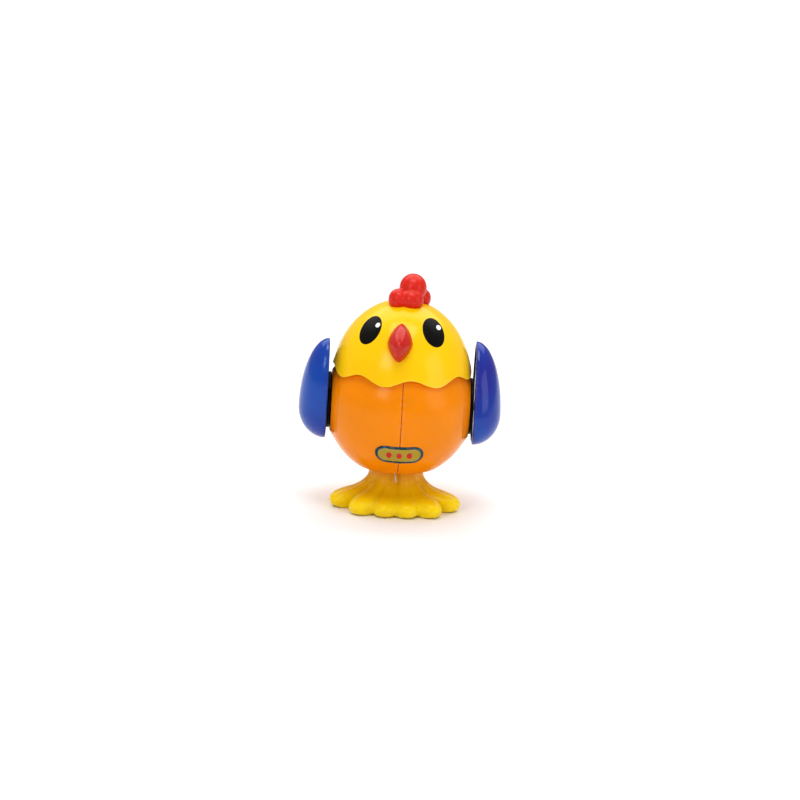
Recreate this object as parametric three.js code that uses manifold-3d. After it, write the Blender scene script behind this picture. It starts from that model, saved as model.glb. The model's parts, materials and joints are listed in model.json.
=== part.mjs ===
// Wind-up hopping chicken: a ball-shaped toy with a spring motor, wing-shaped winding knobs
// and one kicking foot moulding. Millimetres, +Z up, the face looks towards -Y, and the
// origin is on the floor under the middle of the body.
import * as THREE from 'three';
import { mergeVertices } from 'three/addons/utils/BufferGeometryUtils.js';
import { ConvexGeometry } from 'three/addons/geometries/ConvexGeometry.js';
import Module from 'manifold-3d';

const wasm = await Module();
wasm.setup();

// ---------------------------------------------------------------- driving dimensions

const GAP = 0.3;                 // clearance between pieces that touch
const WALL = 2;                  // moulded wall
const LOOK_DOWN = 15 * Math.PI / 180; // the face is drawn for a viewer this far above the front
const FACE_TURN = -5.5 * Math.PI / 180; // and looks a little towards the left wing

// Body ball
const BALL_R = 41.2;
const BALL_Z = 58;
const SIDE_BEVEL_X = 34.6;       // the ball's side is bevelled from here
const SIDE_BOSS_X = 38;          // to the round flat that carries the wing's hub
const SIDE_BOSS_R = 17;
const BASE_Z = 23;               // lower rim of the body
const BASE_MOUTH_R = 19.2;       // opening that the legs come out of
const COLLAR_Z = 82;             // upper rim of the body, inside the head

// Head cap, the upper half of an ellipsoid
const HEAD_R = 38.5;
const HEAD_H = 45;
const HEAD_Z = 71;
const BRIM_Z = 78;
const BRIM_WAVE = 2.1;
const BRIM_LOBES = 8;
const BRIM_PHASE = 6.5 * Math.PI / 180; // first crest, measured from the front

// Wings, half an egg with its narrow end up
const WING_X = 40.2;             // flat inner face
const WING_DEPTH = 15.5;
const WING_HALF_WIDTH = 18.8;
const WING_BELLY = -4;           // level of the widest part, measured from the hub
const WING_UP = 40;
const WING_DOWN = 17.4;
const WING_LEAN = 9 * Math.PI / 180; // the left wing leans forward, the right one back
const HUB_R = 15.5;

// Motor
const PLATE_X = 12.5;            // inner face of each motor plate
const PLATE_T = 1;
const MODULE = 0.6;
const PRESSURE_ANGLE = 20 * Math.PI / 180;
const ADDENDUM = 0.85 * MODULE;
const DEDENDUM = 1.2 * MODULE;
const TOOTH_WIDTH = 0.4 * Math.PI * MODULE; // on the pitch circle, thin enough to run freely
const GREAT_TEETH = 48;
const INTERMEDIATE_PINION_TEETH = 12;
const INTERMEDIATE_TEETH = 36;
const CRANK_PINION_TEETH = 12;
const CRANK_TEETH = 24;
const GOVERNOR_PINION_TEETH = 10;
const RATCHET_TEETH = 12;
const RATCHET_R = 8;

// Foot
const PIVOT_Z = 26;
const PIVOT_PIN_R = 1.5;
const CRANK_Z = 36;
const CRANK_THROW = 2;
const FOOT_SWING = 10 * Math.PI / 180;
const LEVER_HALF = 1.5;          // half the thickness of the leg lever

// ---------------------------------------------------------------- colours

const ORANGE = { color: 0xed920a, roughness: 0.28, metalness: 0 };
const YELLOW = { color: 0xf2c80a, roughness: 0.28, metalness: 0 };
const BLUE = { color: 0x2c4a98, roughness: 0.25, metalness: 0 };
const RED = { color: 0xdd3a28, roughness: 0.35, metalness: 0 };
const BLACK = { color: 0x1c1a19, roughness: 0.35, metalness: 0 };
const GOLD = { color: 0xa98a3a, roughness: 0.4, metalness: 0.2 };
const NYLON = { color: 0xe6e2d6, roughness: 0.5, metalness: 0 };
const STEEL = { color: 0xb9bcc0, roughness: 0.35, metalness: 0.9 };
const BRASS = { color: 0xc9a14a, roughness: 0.35, metalness: 0.9 };

// ---------------------------------------------------------------- shape helpers

const X_AXIS = new THREE.Vector3(1, 0, 0);
const Y_AXIS = new THREE.Vector3(0, 1, 0);
const Z_AXIS = new THREE.Vector3(0, 0, 1);
const OUTLINE_TO_X = new THREE.Matrix4().makeBasis(Y_AXIS, Z_AXIS, X_AXIS);

function solidOf(geometry) {
  const bare = geometry.clone();
  bare.deleteAttribute('normal');
  bare.deleteAttribute('uv');
  const merged = mergeVertices(bare, 1e-4);
  return new wasm.Manifold(new wasm.Mesh({
    numProp: 3,
    vertProperties: new Float32Array(merged.attributes.position.array),
    triVerts: new Uint32Array(merged.index.array),
  }));
}

function geometryOf(solid) {
  const mesh = solid.getMesh();
  const geometry = new THREE.BufferGeometry();
  geometry.setAttribute('position', new THREE.BufferAttribute(mesh.vertProperties, 3));
  geometry.setIndex(new THREE.BufferAttribute(mesh.triVerts, 1));
  geometry.computeVertexNormals();
  return geometry;
}

function join(...geometries) {
  return geometries.map(solidOf).reduce((a, b) => a.add(b));
}

function cut(solid, ...geometries) {
  return geometries.map(solidOf).reduce((a, b) => a.subtract(b), solid);
}

// An outline drawn in (y, z), extruded along X from x0 to x1.
function slab(shape, x0, x1, curveSegments = 12) {
  const depth = x1 - x0;
  const geometry = new THREE.ExtrudeGeometry(shape, { depth, bevelEnabled: false, curveSegments });
  geometry.translate(0, 0, x0);
  return geometry.applyMatrix4(OUTLINE_TO_X);
}

function circle(radius, y = 0, z = 0) {
  return new THREE.Path().absarc(y, z, radius, 0, 2 * Math.PI);
}

function ring(outer, inner, x0, x1, curveSegments = 12) {
  const shape = new THREE.Shape().absarc(0, 0, outer, 0, 2 * Math.PI);
  shape.holes.push(circle(inner));
  return slab(shape, x0, x1, curveSegments);
}

function rod(radius, x0, x1, y = 0, z = 0, segments = 16) {
  const geometry = new THREE.CylinderGeometry(radius, radius, x1 - x0, segments);
  geometry.rotateZ(Math.PI / 2);
  return geometry.translate((x0 + x1) / 2, y, z);
}

function post(radius, x, y, z0, z1, segments = 12) {
  const geometry = new THREE.CylinderGeometry(radius, radius, z1 - z0, segments);
  return geometry.rotateX(Math.PI / 2).translate(x, y, (z0 + z1) / 2);
}

function block(x0, x1, y0, y1, z0, z1) {
  const geometry = new THREE.BoxGeometry(x1 - x0, y1 - y0, z1 - z0);
  return geometry.translate((x0 + x1) / 2, (y0 + y1) / 2, (z0 + z1) / 2);
}

function egg(rx, ry, rz, x, y, z, around = 16, along = 8) {
  const geometry = new THREE.SphereGeometry(1, around, along);
  geometry.rotateX(Math.PI / 2);
  return geometry.scale(rx, ry, rz).translate(x, y, z);
}

// The body ball, its poles on the winding arbor.
function ball(grow, around = 32, along = 18) {
  const geometry = new THREE.SphereGeometry(BALL_R + grow, around, along);
  return geometry.rotateZ(Math.PI / 2).translate(0, 0, BALL_Z);
}

function roundedRect(y0, y1, z0, z1, r) {
  const shape = new THREE.Shape();
  shape.absarc(y1 - r, z0 + r, r, -Math.PI / 2, 0);
  shape.absarc(y1 - r, z1 - r, r, 0, Math.PI / 2);
  shape.absarc(y0 + r, z1 - r, r, Math.PI / 2, Math.PI);
  shape.absarc(y0 + r, z0 + r, r, Math.PI, 1.5 * Math.PI);
  return shape;
}

function piece(name, shape, look) {
  const geometry = shape.isBufferGeometry ? shape : geometryOf(shape);
  const mesh = new THREE.Mesh(geometry, new THREE.MeshStandardMaterial(look));
  mesh.name = name;
  return mesh;
}

function groupAt(x, y, z, ...children) {
  const group = new THREE.Group();
  group.position.set(x, y, z);
  group.add(...children);
  return group;
}

// ---------------------------------------------------------------- gears

const involute = (angle) => Math.tan(angle) - angle;

// Half the angle that a tooth fills at a radius, on an involute flank.
function halfTooth(teeth, radius) {
  const pitch = MODULE * teeth / 2;
  const base = pitch * Math.cos(PRESSURE_ANGLE);
  const pressure = Math.acos(Math.min(1, base / radius));
  return TOOTH_WIDTH / 2 / pitch + involute(PRESSURE_ANGLE) - involute(pressure);
}

// A spur gear with a tooth centred at the angle phase, measured from +Y towards +Z.
function gear(teeth, bore, x0, x1, phase) {
  const pitch = MODULE * teeth / 2;
  const ends = [pitch - DEDENDUM, pitch + ADDENDUM];
  const radii = teeth > 20 ? ends : [ends[0], pitch, ends[1]];
  const flank = radii.map((radius) => [radius, halfTooth(teeth, radius)]);
  const points = [];
  for (let tooth = 0; tooth < teeth; tooth++) {
    const middle = phase + tooth * 2 * Math.PI / teeth;
    for (const [radius, half] of flank) {
      points.push(new THREE.Vector2(radius * Math.cos(middle - half), radius * Math.sin(middle - half)));
    }
    for (const [radius, half] of [...flank].reverse()) {
      points.push(new THREE.Vector2(radius * Math.cos(middle + half), radius * Math.sin(middle + half)));
    }
  }
  const shape = new THREE.Shape(points);
  shape.holes.push(circle(bore));
  return slab(shape, x0, x1, 6);
}

const pitchDistance = (a, b) => MODULE * (a + b) / 2;

// Where two circles around the barrel and the crank meet, behind the motor.
const BARREL_TO_INTERMEDIATE = pitchDistance(GREAT_TEETH, INTERMEDIATE_PINION_TEETH);
const CRANK_TO_INTERMEDIATE = pitchDistance(INTERMEDIATE_TEETH, CRANK_PINION_TEETH);
const BARREL_TO_CRANK = BALL_Z - CRANK_Z;
const INTERMEDIATE_Z = CRANK_Z + (CRANK_TO_INTERMEDIATE ** 2 - BARREL_TO_INTERMEDIATE ** 2
  + BARREL_TO_CRANK ** 2) / (2 * BARREL_TO_CRANK);
const INTERMEDIATE_Y = Math.sqrt(CRANK_TO_INTERMEDIATE ** 2 - (INTERMEDIATE_Z - CRANK_Z) ** 2);
const CRANK_TO_GOVERNOR = pitchDistance(CRANK_TEETH, GOVERNOR_PINION_TEETH);
const GOVERNOR_RISE = 25 * Math.PI / 180;
const GOVERNOR_Y = -CRANK_TO_GOVERNOR * Math.cos(GOVERNOR_RISE);
const GOVERNOR_Z = CRANK_Z + CRANK_TO_GOVERNOR * Math.sin(GOVERNOR_RISE);

const direction = (y0, z0, y1, z1) => Math.atan2(z1 - z0, y1 - y0);
const gapPhase = (teeth, angle) => angle + Math.PI / teeth;

const BARREL_TO_INTERMEDIATE_ANGLE = direction(0, BALL_Z, INTERMEDIATE_Y, INTERMEDIATE_Z);
const INTERMEDIATE_TO_CRANK_ANGLE = direction(INTERMEDIATE_Y, INTERMEDIATE_Z, 0, CRANK_Z);
const CRANK_TO_GOVERNOR_ANGLE = direction(0, CRANK_Z, GOVERNOR_Y, GOVERNOR_Z);

// ---------------------------------------------------------------- body halves

const PILLARS = [[-13.5, 70.5], [13.5, 70.5], [-17.5, 33], [16.5, 31.5]];
const MOTOR_POSTS = [[-10, 66], [9, 50]];
const CLOSING_SCREWS = [[27, 38], [22, 77]];
const PILLAR_R = 1.8;
const POST_R = 2.5;
const SPIGOT_LENGTH = 1.5;       // the spigot on a motor post reaches through the plate
const SCREW_BOSS_R = 3.2;
const SCREW_BOSS_X = 24;
const SCREW_R = 1.1;
const SCREW_SINK_R = 2.3;
const SCREW_SINK_X = 6;          // floor of the recess that the screw's head sits in
const AXLE_R = 1;
const ARBOR_R = 2.5;
const BUSH_R = 4.5;
const BUSH_X = 33.5;
const PIVOT_RIB_X = [17.2, 30];
const PIVOT_HOLE_X = 19;
const FAR = 50;                  // beyond the body in every direction

// The cone that bevels the ball's side, down to the round flat.
function sideBevel(side) {
  const edge = Math.sqrt(BALL_R ** 2 - SIDE_BEVEL_X ** 2);
  const slope = (edge - SIDE_BOSS_R) / (SIDE_BOSS_X - SIDE_BEVEL_X);
  const geometry = new THREE.CylinderGeometry(
    SIDE_BOSS_R + slope * SIDE_BOSS_X, SIDE_BOSS_R, SIDE_BOSS_X, 36);
  geometry.translate(0, -SIDE_BOSS_X / 2, 0).rotateZ(side * Math.PI / 2);
  return solidOf(geometry.translate(0, 0, BALL_Z));
}

function bodyHalf(side) {
  const span = (a, b) => [Math.min(side * a, side * b), Math.max(side * a, side * b)];
  const rodSpan = (r, a, b, y, z, n) => solidOf(rod(r, ...span(a, b), y, z, n));
  const blockSpan = (a, b, ...rest) => solidOf(block(...span(a, b), ...rest));
  const half = (a, b) => blockSpan(a, b, -FAR, FAR, 0, BALL_Z + FAR);
  let shell = solidOf(ball(0)).add(rodSpan(SIDE_BOSS_R, BUSH_X, SIDE_BOSS_X, 0, BALL_Z, 36));
  shell = shell.intersect(sideBevel(side));
  const hollow = solidOf(ball(-WALL, 20, 12)).intersect(half(-FAR, SIDE_BOSS_X - WALL - GAP));
  const mouth = solidOf(post(BASE_MOUTH_R, 0, 0, BASE_Z - 5, BASE_Z + 4, 28));
  let ribs = blockSpan(...PIVOT_RIB_X, -3.5, 3.5, PIVOT_Z - 2.8, PIVOT_Z + 5);
  ribs = ribs.add(rodSpan(BUSH_R + WALL, BUSH_X, SIDE_BOSS_X, 0, BALL_Z, 20));
  for (const [y, z] of MOTOR_POSTS) {
    const foot = PLATE_X + PLATE_T + GAP;
    ribs = ribs.add(rodSpan(POST_R, foot, SIDE_BOSS_X, y, z, 12));
    ribs = ribs.add(rodSpan(SCREW_R, foot - SPIGOT_LENGTH - GAP, SIDE_BOSS_X - POST_R, y, z, 10));
  }
  for (const [y, z] of CLOSING_SCREWS) {
    ribs = ribs.add(rodSpan(SCREW_BOSS_R, GAP / 2, SCREW_BOSS_X, y, z, 12));
  }
  const inside = solidOf(ball(-WALL / 2, 20, 12)).intersect(half(0, SIDE_BOSS_X - WALL));
  shell = shell.subtract(hollow).subtract(mouth).add(ribs.intersect(inside));
  shell = shell.intersect(blockSpan(GAP / 2, FAR, -FAR, FAR, BASE_Z, COLLAR_Z));
  shell = shell.subtract(rodSpan(BUSH_R + GAP, PLATE_X, FAR, 0, BALL_Z, 20));
  shell = shell.subtract(rodSpan(PIVOT_PIN_R + GAP, 0, PIVOT_HOLE_X, 0, PIVOT_Z, 12));
  for (const [y, z] of CLOSING_SCREWS) {
    const pilot = side > 0 ? FAR : SCREW_SINK_X + 3;
    shell = shell.subtract(rodSpan(SCREW_R + GAP, -1, pilot, y, z, 8));
    if (side > 0) {
      shell = shell.subtract(rodSpan(SCREW_SINK_R, SCREW_SINK_X, FAR, y, z, 12));
    }
  }
  return shell;
}

// ---------------------------------------------------------------- head

function headEllipsoid(grow, around = 32, along = 18) {
  return egg(HEAD_R + grow, HEAD_R + grow, HEAD_H + grow, 0, 0, HEAD_Z, around, along);
}

// A drum whose top rises and falls in eight waves; what it cuts leaves the wavy brim.
function brimCutter() {
  const reach = HEAD_R + 6.5;
  const height = 30;
  const geometry = new THREE.CylinderGeometry(reach, reach, height, 48, 1);
  geometry.rotateX(Math.PI / 2);
  geometry.translate(0, 0, BRIM_Z - height / 2);
  const position = geometry.attributes.position;
  for (let i = 0; i < position.count; i++) {
    const x = position.getX(i);
    const y = position.getY(i);
    if (position.getZ(i) > BRIM_Z - 1 && Math.hypot(x, y) > 1) {
      const turn = Math.atan2(x, -y) - BRIM_PHASE;
      position.setZ(i, BRIM_Z + BRIM_WAVE * reach / HEAD_R * Math.cos(BRIM_LOBES * turn));
    }
  }
  return geometry;
}

const COMB_PEG_R = 2.2;
const COMB_PEG_X = 3.5;
const HEAD_TAB = { inner: 27.4, outer: 29.2, foot: 73, top: 89, width: 8 }; // hooks into the collar

function headShell() {
  const inner = headEllipsoid(-WALL, 20, 12);
  const shell = cut(solidOf(headEllipsoid(0)), inner, ball(GAP), brimCutter());
  const tab = new THREE.Shape();
  const hook = HEAD_TAB;
  tab.moveTo(hook.inner, hook.foot);
  tab.lineTo(hook.outer, hook.foot);
  tab.lineTo(hook.outer, COLLAR_Z + WALL);
  tab.lineTo(HEAD_R - WALL, COLLAR_Z + WALL);
  tab.lineTo(HEAD_R - 5, hook.top);
  tab.lineTo(hook.inner, hook.top);
  let tabs = null;
  for (const turn of [0, 120, 240]) {
    const geometry = new THREE.ExtrudeGeometry(tab, { depth: hook.width, bevelEnabled: false });
    geometry.translate(0, 0, -hook.width / 2).rotateX(Math.PI / 2).rotateZ((90 + turn) * Math.PI / 180);
    tabs = tabs ? tabs.add(solidOf(geometry)) : solidOf(geometry);
  }
  const within = solidOf(headEllipsoid(-WALL / 2, 20, 12));
  const pegHole = new THREE.CylinderGeometry(COMB_PEG_R + GAP, COMB_PEG_R + GAP, 40, 16);
  pegHole.rotateX(Math.PI / 2).translate(COMB_PEG_X, 0, 120);
  return cut(shell.add(tabs.intersect(within)), pegHole);
}

// Frame of a flat picture of the face: x to the side, y up the picture, z towards the viewer.
const FACE = new THREE.Matrix4().makeBasis(
  X_AXIS,
  new THREE.Vector3(0, Math.sin(LOOK_DOWN), Math.cos(LOOK_DOWN)),
  new THREE.Vector3(0, -Math.cos(LOOK_DOWN), Math.sin(LOOK_DOWN)),
);
const EYE = { x: 17.1, up: 95.4, long: 8.5, short: 5.2, tilt: 26 * Math.PI / 180 };
const EYE_T = 0.6;
const EYE_NEAR = 30;             // an eye's outline is pushed onto the head from here
const EYE_FAR = 90;

function eye(side) {
  const outline = new THREE.Shape();
  outline.absellipse(side * EYE.x, EYE.up, EYE.short, EYE.long, 0, 2 * Math.PI, false, side * EYE.tilt);
  const depth = EYE_FAR - EYE_NEAR;
  const prism = new THREE.ExtrudeGeometry(outline, { depth, bevelEnabled: false, curveSegments: 8 });
  prism.translate(0, 0, EYE_NEAR).applyMatrix4(FACE).rotateZ(FACE_TURN);
  return cut(solidOf(headEllipsoid(GAP + EYE_T)).intersect(solidOf(prism)), headEllipsoid(GAP));
}

// A blunt diamond: four long edges run from a rounded tip back into the head.
function beak() {
  const tip = new THREE.Vector3(0, -40.5, 99);
  const corners = [[0, -22, 108.5], [6.6, -30, 99], [0, -35, 89], [-6.6, -30, 99]];
  const points = [];
  for (const [x, y, z] of corners) {
    const corner = new THREE.Vector3(x, y, z);
    points.push(corner.clone().setY(y + 8));
    for (const along of [0, 0.35, 0.62, 0.84]) {
      const bulge = 1.9 * Math.sin(Math.PI * along);
      const point = corner.clone().lerp(tip, along);
      const outward = new THREE.Vector3(Math.sign(x) * 0.6, -0.5, Math.sign(z - 99.1) * 0.6).normalize();
      points.push(point.addScaledVector(outward, bulge));
    }
  }
  for (let step = 0; step < 8; step++) {
    const turn = step * Math.PI / 4;
    points.push(new THREE.Vector3(0.9 * Math.cos(turn), tip.y, tip.z + 0.7 * Math.sin(turn)));
  }
  return cut(solidOf(new ConvexGeometry(points).rotateZ(FACE_TURN)), headEllipsoid(GAP));
}

const COMB_LOBES = [
  { at: [3.6, 0.8, 122.9], size: [7.6, 8.2, 8.1] },
  { at: [-4.6, -4.6, 117.2], size: [5, 5.8, 5.4] },
  { at: [3.2, -5.6, 117.6], size: [5.8, 5.8, 5.4] },
  { at: [9.4, 6.2, 116.2], size: [4.6, 5.6, 5.4] },
];
const COMB_PEG_Z = [109, 121];

function comb() {
  let lobes = null;
  for (const { at, size } of COMB_LOBES) {
    const lobe = solidOf(egg(...size, ...at, 14, 8));
    lobes = lobes ? lobes.add(lobe) : lobe;
  }
  return cut(lobes, headEllipsoid(GAP)).add(solidOf(post(COMB_PEG_R, COMB_PEG_X, 0, ...COMB_PEG_Z)));
}

// ---------------------------------------------------------------- badge

const BADGE = { z: 37.8, length: 26.5, height: 12, rim: 1.2 };
const BADGE_TIP = Math.asin((BALL_Z - BADGE.z) / BALL_R);

function pill(length, height) {
  const r = height / 2;
  const shape = new THREE.Shape();
  shape.absarc(length / 2 - r, 0, r, -Math.PI / 2, Math.PI / 2);
  shape.absarc(r - length / 2, 0, r, Math.PI / 2, 1.5 * Math.PI);
  return shape;
}

function onBadge(shape, from, to) {
  const prism = new THREE.ExtrudeGeometry(shape, { depth: 40, bevelEnabled: false, curveSegments: 6 });
  prism.translate(0, 0, 20).rotateX(Math.PI / 2 + BADGE_TIP).translate(0, 0, BALL_Z);
  return cut(solidOf(ball(to)).intersect(solidOf(prism)), ball(from));
}

function badgeRim() {
  const shape = pill(BADGE.length, BADGE.height);
  shape.holes.push(pill(BADGE.length - 2 * BADGE.rim, BADGE.height - 2 * BADGE.rim));
  return onBadge(shape, GAP, 1.3);
}

function badgeField() {
  const margin = 2 * (BADGE.rim + GAP);
  return onBadge(pill(BADGE.length - margin, BADGE.height - margin), GAP, 1);
}

// ---------------------------------------------------------------- wings

// Half an egg: above its belly it is stretched further than below.
function halfEgg(side, inset, from = 0) {
  const geometry = new THREE.SphereGeometry(1, 20, 12);
  geometry.rotateX(Math.PI / 2);
  const position = geometry.attributes.position;
  for (let i = 0; i < position.count; i++) {
    const z = position.getZ(i);
    position.setZ(i, WING_BELLY + z * ((z > 0 ? WING_UP : WING_DOWN) - inset));
  }
  geometry.scale(WING_DEPTH - inset, WING_HALF_WIDTH - inset, 1);
  const half = block(...(side > 0 ? [from, FAR] : [-FAR, -from]), -FAR, FAR, -FAR, FAR);
  return solidOf(geometry).intersect(solidOf(half));
}

const WING_WALL = 1.8;
const COVER_T = 1.2;
const SOCKET_R = 3.6;            // the cover's socket grips the arbor's end
const SOCKET_DEPTH = 9;
const BORE_DEPTH = 6;

function wingGroup(side, name) {
  const span = (a, b) => [Math.min(side * a, side * b), Math.max(side * a, side * b)];
  const bore = rod(ARBOR_R + GAP, -BORE_DEPTH, BORE_DEPTH);
  const shell = halfEgg(side, 0).subtract(halfEgg(side, WING_WALL, -1));
  const coverLayer = solidOf(block(...span(0, COVER_T), -FAR, FAR, -FAR, FAR));
  const coverPlate = halfEgg(side, WING_WALL + GAP).intersect(coverLayer);
  const cover = cut(coverPlate.add(solidOf(rod(SOCKET_R, ...span(0, SOCKET_DEPTH)))), bore);
  const hubSpan = span(SIDE_BOSS_X + GAP - WING_X, -GAP);
  const hub = cut(solidOf(rod(HUB_R, ...hubSpan, 0, 0, 36)), bore);
  const group = groupAt(
    side * WING_X, 0, 0,
    piece(`wing_${name}_shell`, shell, BLUE),
    piece(`wing_${name}_cover`, cover, BLUE),
    piece(`wing_${name}_hub`, hub, BLACK),
  );
  group.rotation.x = -side * WING_LEAN;
  return group;
}

// ---------------------------------------------------------------- winding arbor and ratchet

const RATCHET_X = [-10.2, -8.7];
const ARBOR_END = WING_X + 5.5;

function ratchetWheel() {
  const points = [];
  for (let tooth = 0; tooth < RATCHET_TEETH; tooth++) {
    const start = tooth * 2 * Math.PI / RATCHET_TEETH;
    const steps = [[RATCHET_R - 1.8, 0], [RATCHET_R, 0.02], [RATCHET_R - 0.9, 0.27]];
    for (const [radius, turn] of steps) {
      points.push(new THREE.Vector2(radius * Math.cos(start + turn), radius * Math.sin(start + turn)));
    }
  }
  const shape = new THREE.Shape(points);
  shape.holes.push(circle(ARBOR_R + GAP));
  return slab(shape, ...RATCHET_X, 6);
}

const CLICK_PIVOT = [8.5, 71.5];
const CLICK_PIN_R = 0.8;

// The pawl's arm hangs from its pivot and its tip rests in front of a tooth's steep face.
function click() {
  const arm = new THREE.Shape();
  arm.absarc(0, 0, 2, -0.3 * Math.PI, 0.7 * Math.PI);
  arm.lineTo(-7.4, -3.8);
  arm.lineTo(-7.5, -6.6);
  arm.lineTo(-6.3, -5.6);
  arm.holes.push(circle(CLICK_PIN_R + GAP));
  return slab(arm, ...RATCHET_X, 6);
}

// ---------------------------------------------------------------- spring barrel

const BARREL_R = 12;
const BARREL_X = [-5.2, 6];
const GREAT_X = [6, 8];
const LID_X = [-6.3, -5.5];
const HUB_BORE = ARBOR_R + 0.5;

function barrelDrum() {
  const wheel = gear(GREAT_TEETH, HUB_BORE, ...GREAT_X, BARREL_TO_INTERMEDIATE_ANGLE);
  return solidOf(wheel).add(solidOf(ring(BARREL_R, BARREL_R - 1, BARREL_X[0], GREAT_X[0] + 0.5, 16)));
}

// A flat strip wound in a spiral from the drum wall towards the arbor.
function mainspring() {
  const turns = 5;
  const steps = turns * 14;
  const outside = BARREL_R - 1.6;
  const inside = 4.6;
  const thickness = 0.45;
  const edge = (offset, reverse) => Array.from({ length: steps + 1 }, (_, i) => {
    const k = reverse ? steps - i : i;
    const angle = k * turns * 2 * Math.PI / steps;
    const radius = outside + (inside - outside) * k / steps + offset;
    return new THREE.Vector2(radius * Math.cos(angle), radius * Math.sin(angle));
  });
  const shape = new THREE.Shape([...edge(thickness / 2, false), ...edge(-thickness / 2, true)]);
  return slab(shape, BARREL_X[0] + 0.8, GREAT_X[0] - 0.8);
}

// ---------------------------------------------------------------- crank

const WEB_X = [2, 3.5];
const WEB_R = 4;
const CRANK_PIN_R = 1;
const SHAFT_END = PLATE_X + PLATE_T;

function crankShaft() {
  return join(
    rod(AXLE_R, -SHAFT_END, -WEB_X[0], 0, 0, 12),
    rod(AXLE_R, WEB_X[0], SHAFT_END, 0, 0, 12),
    rod(WEB_R, -WEB_X[1], -WEB_X[0], 0, 0, 20),
    rod(WEB_R, WEB_X[0], WEB_X[1], 0, 0, 20),
    rod(CRANK_PIN_R, -WEB_X[0] - 0.5, WEB_X[0] + 0.5, 0, CRANK_THROW, 12),
  );
}

// ---------------------------------------------------------------- governor

const CUP_R = 6.8;
const CUP_X = [-12.2, -8.2];
const WEIGHT_X = [-11, -8.6];

function governorCup() {
  const wall = ring(CUP_R, CUP_R - 0.8, ...CUP_X, 10);
  const floor = ring(CUP_R, AXLE_R + GAP, CUP_X[0], CUP_X[0] + 0.8, 10);
  return join(wall, floor);
}

function brakeWeight(turn) {
  const shape = new THREE.Shape();
  shape.absarc(0, 0, 5.4, turn - 1.2, turn + 1.2);
  shape.absarc(0, 0, 3.2, turn + 1.2, turn - 1.2, true);
  return slab(shape, ...WEIGHT_X, 6);
}

// ---------------------------------------------------------------- motor plates

const PLATE = { y0: -20.5, y1: 19.5, z0: 28.6, z1: 75, corner: 4 };
const ARCH_R = 10.5;             // the arch keeps the plates clear of the foot's pivot
const ARCH_Z = 22;

function motorPlate(side) {
  const shape = roundedRect(PLATE.y0, PLATE.y1, PLATE.z0, PLATE.z1, PLATE.corner);
  const hole = (r, y, z) => shape.holes.push(circle(r, y, z));
  hole(ARBOR_R + GAP, 0, BALL_Z);
  hole(AXLE_R + GAP, INTERMEDIATE_Y, INTERMEDIATE_Z);
  hole(AXLE_R + GAP, 0, CRANK_Z);
  hole(AXLE_R + GAP, GOVERNOR_Y, GOVERNOR_Z);
  for (const [y, z] of [...PILLARS, ...MOTOR_POSTS]) {
    hole(SCREW_R + GAP, y, z);
  }
  if (side < 0) {
    hole(CLICK_PIN_R + GAP, ...CLICK_PIVOT);
  }
  const xs = side > 0 ? [PLATE_X, PLATE_X + PLATE_T] : [-PLATE_X - PLATE_T, -PLATE_X];
  const arch = rod(ARCH_R, -FAR, FAR, 0, ARCH_Z, 24);
  return cut(solidOf(slab(shape, ...xs, 4)), arch);
}

function pillar() {
  const end = PLATE_X + PLATE_T + 1;
  return join(
    rod(PILLAR_R, -PLATE_X + GAP, PLATE_X - GAP, 0, 0, 12),
    rod(SCREW_R, -end, end, 0, 0, 10),
  );
}

// A pan-head screw along X, its head at x0 and its tip at x1.
function screw(x0, x1, headT = 1.2) {
  const inwards = Math.sign(x1 - x0);
  const head = [x0, x0 + inwards * headT].sort((a, b) => a - b);
  const shank = [x0, x1].sort((a, b) => a - b);
  const slot = [x0 - inwards, x0 + inwards * 0.5].sort((a, b) => a - b);
  const solid = join(rod(2, ...head, 0, 0, 12), rod(SCREW_R - 0.1, ...shank, 0, 0, 10));
  return cut(solid, block(...slot, -0.3, 0.3, -3, 3));
}

// ---------------------------------------------------------------- foot

const FAN_Y = 3;                 // the toes spread from here
const TOES = [                   // angle from the front, and reach of the toe's round end
  { turn: 12.3, reach: 29.2 },
  { turn: 36.9, reach: 32.5 },
  { turn: 68, reach: 32.3 },
];
const TOE_R = 6.3;
const HEEL_R = 17.5;
const NECK_R = 15;
const NECK_TOP = 23.5;
const VALLEY_R = 2.6;            // groove down the front of the neck, between the two legs
const SOLE_T = 2;
const SOLE_SINK = 1.5;           // depth of the screw heads' recesses
const SOLE_SCREW = { x: 9, y: 9 };
const SPRING_X = [-4.8, -2.2];
const LEG_EYE_X = [7.6, 14.6];   // the pivot eye of each leg
const LEG_EYE_R = 4;

// How far the foot's outline reaches from the fan's centre in one direction.
function fanReach(turn) {
  let reach = HEEL_R;
  for (const toe of TOES) {
    for (const side of [-1, 1]) {
      const away = Math.abs(turn - side * toe.turn * Math.PI / 180);
      const offset = toe.reach * Math.sin(away);
      if (away < Math.PI / 2 && offset < TOE_R) {
        reach = Math.max(reach, toe.reach * Math.cos(away) + Math.sqrt(TOE_R ** 2 - offset ** 2));
      } else if (away < Math.PI / 2) {
        reach = Math.max(reach, TOE_R / Math.sin(away));
      }
    }
  }
  return reach;
}

// Section of the foot in one direction, from the sole's middle over a toe and up the neck.
function footSection(reach) {
  const spread = Math.max(reach - 4.2, NECK_R) - NECK_R;
  return [
    [0, 0], [reach - 4, 0], [reach - 1.2, 1.4], [reach, 4.4], [reach - 1.7, 7.3],
    [NECK_R + 0.9 * spread, 9.3], [NECK_R + 0.43 * spread, 11.6], [NECK_R + 0.15 * spread, 15],
    [NECK_R + 0.03 * spread, 18.5], [NECK_R, NECK_TOP], [0, NECK_TOP],
  ];
}

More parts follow.
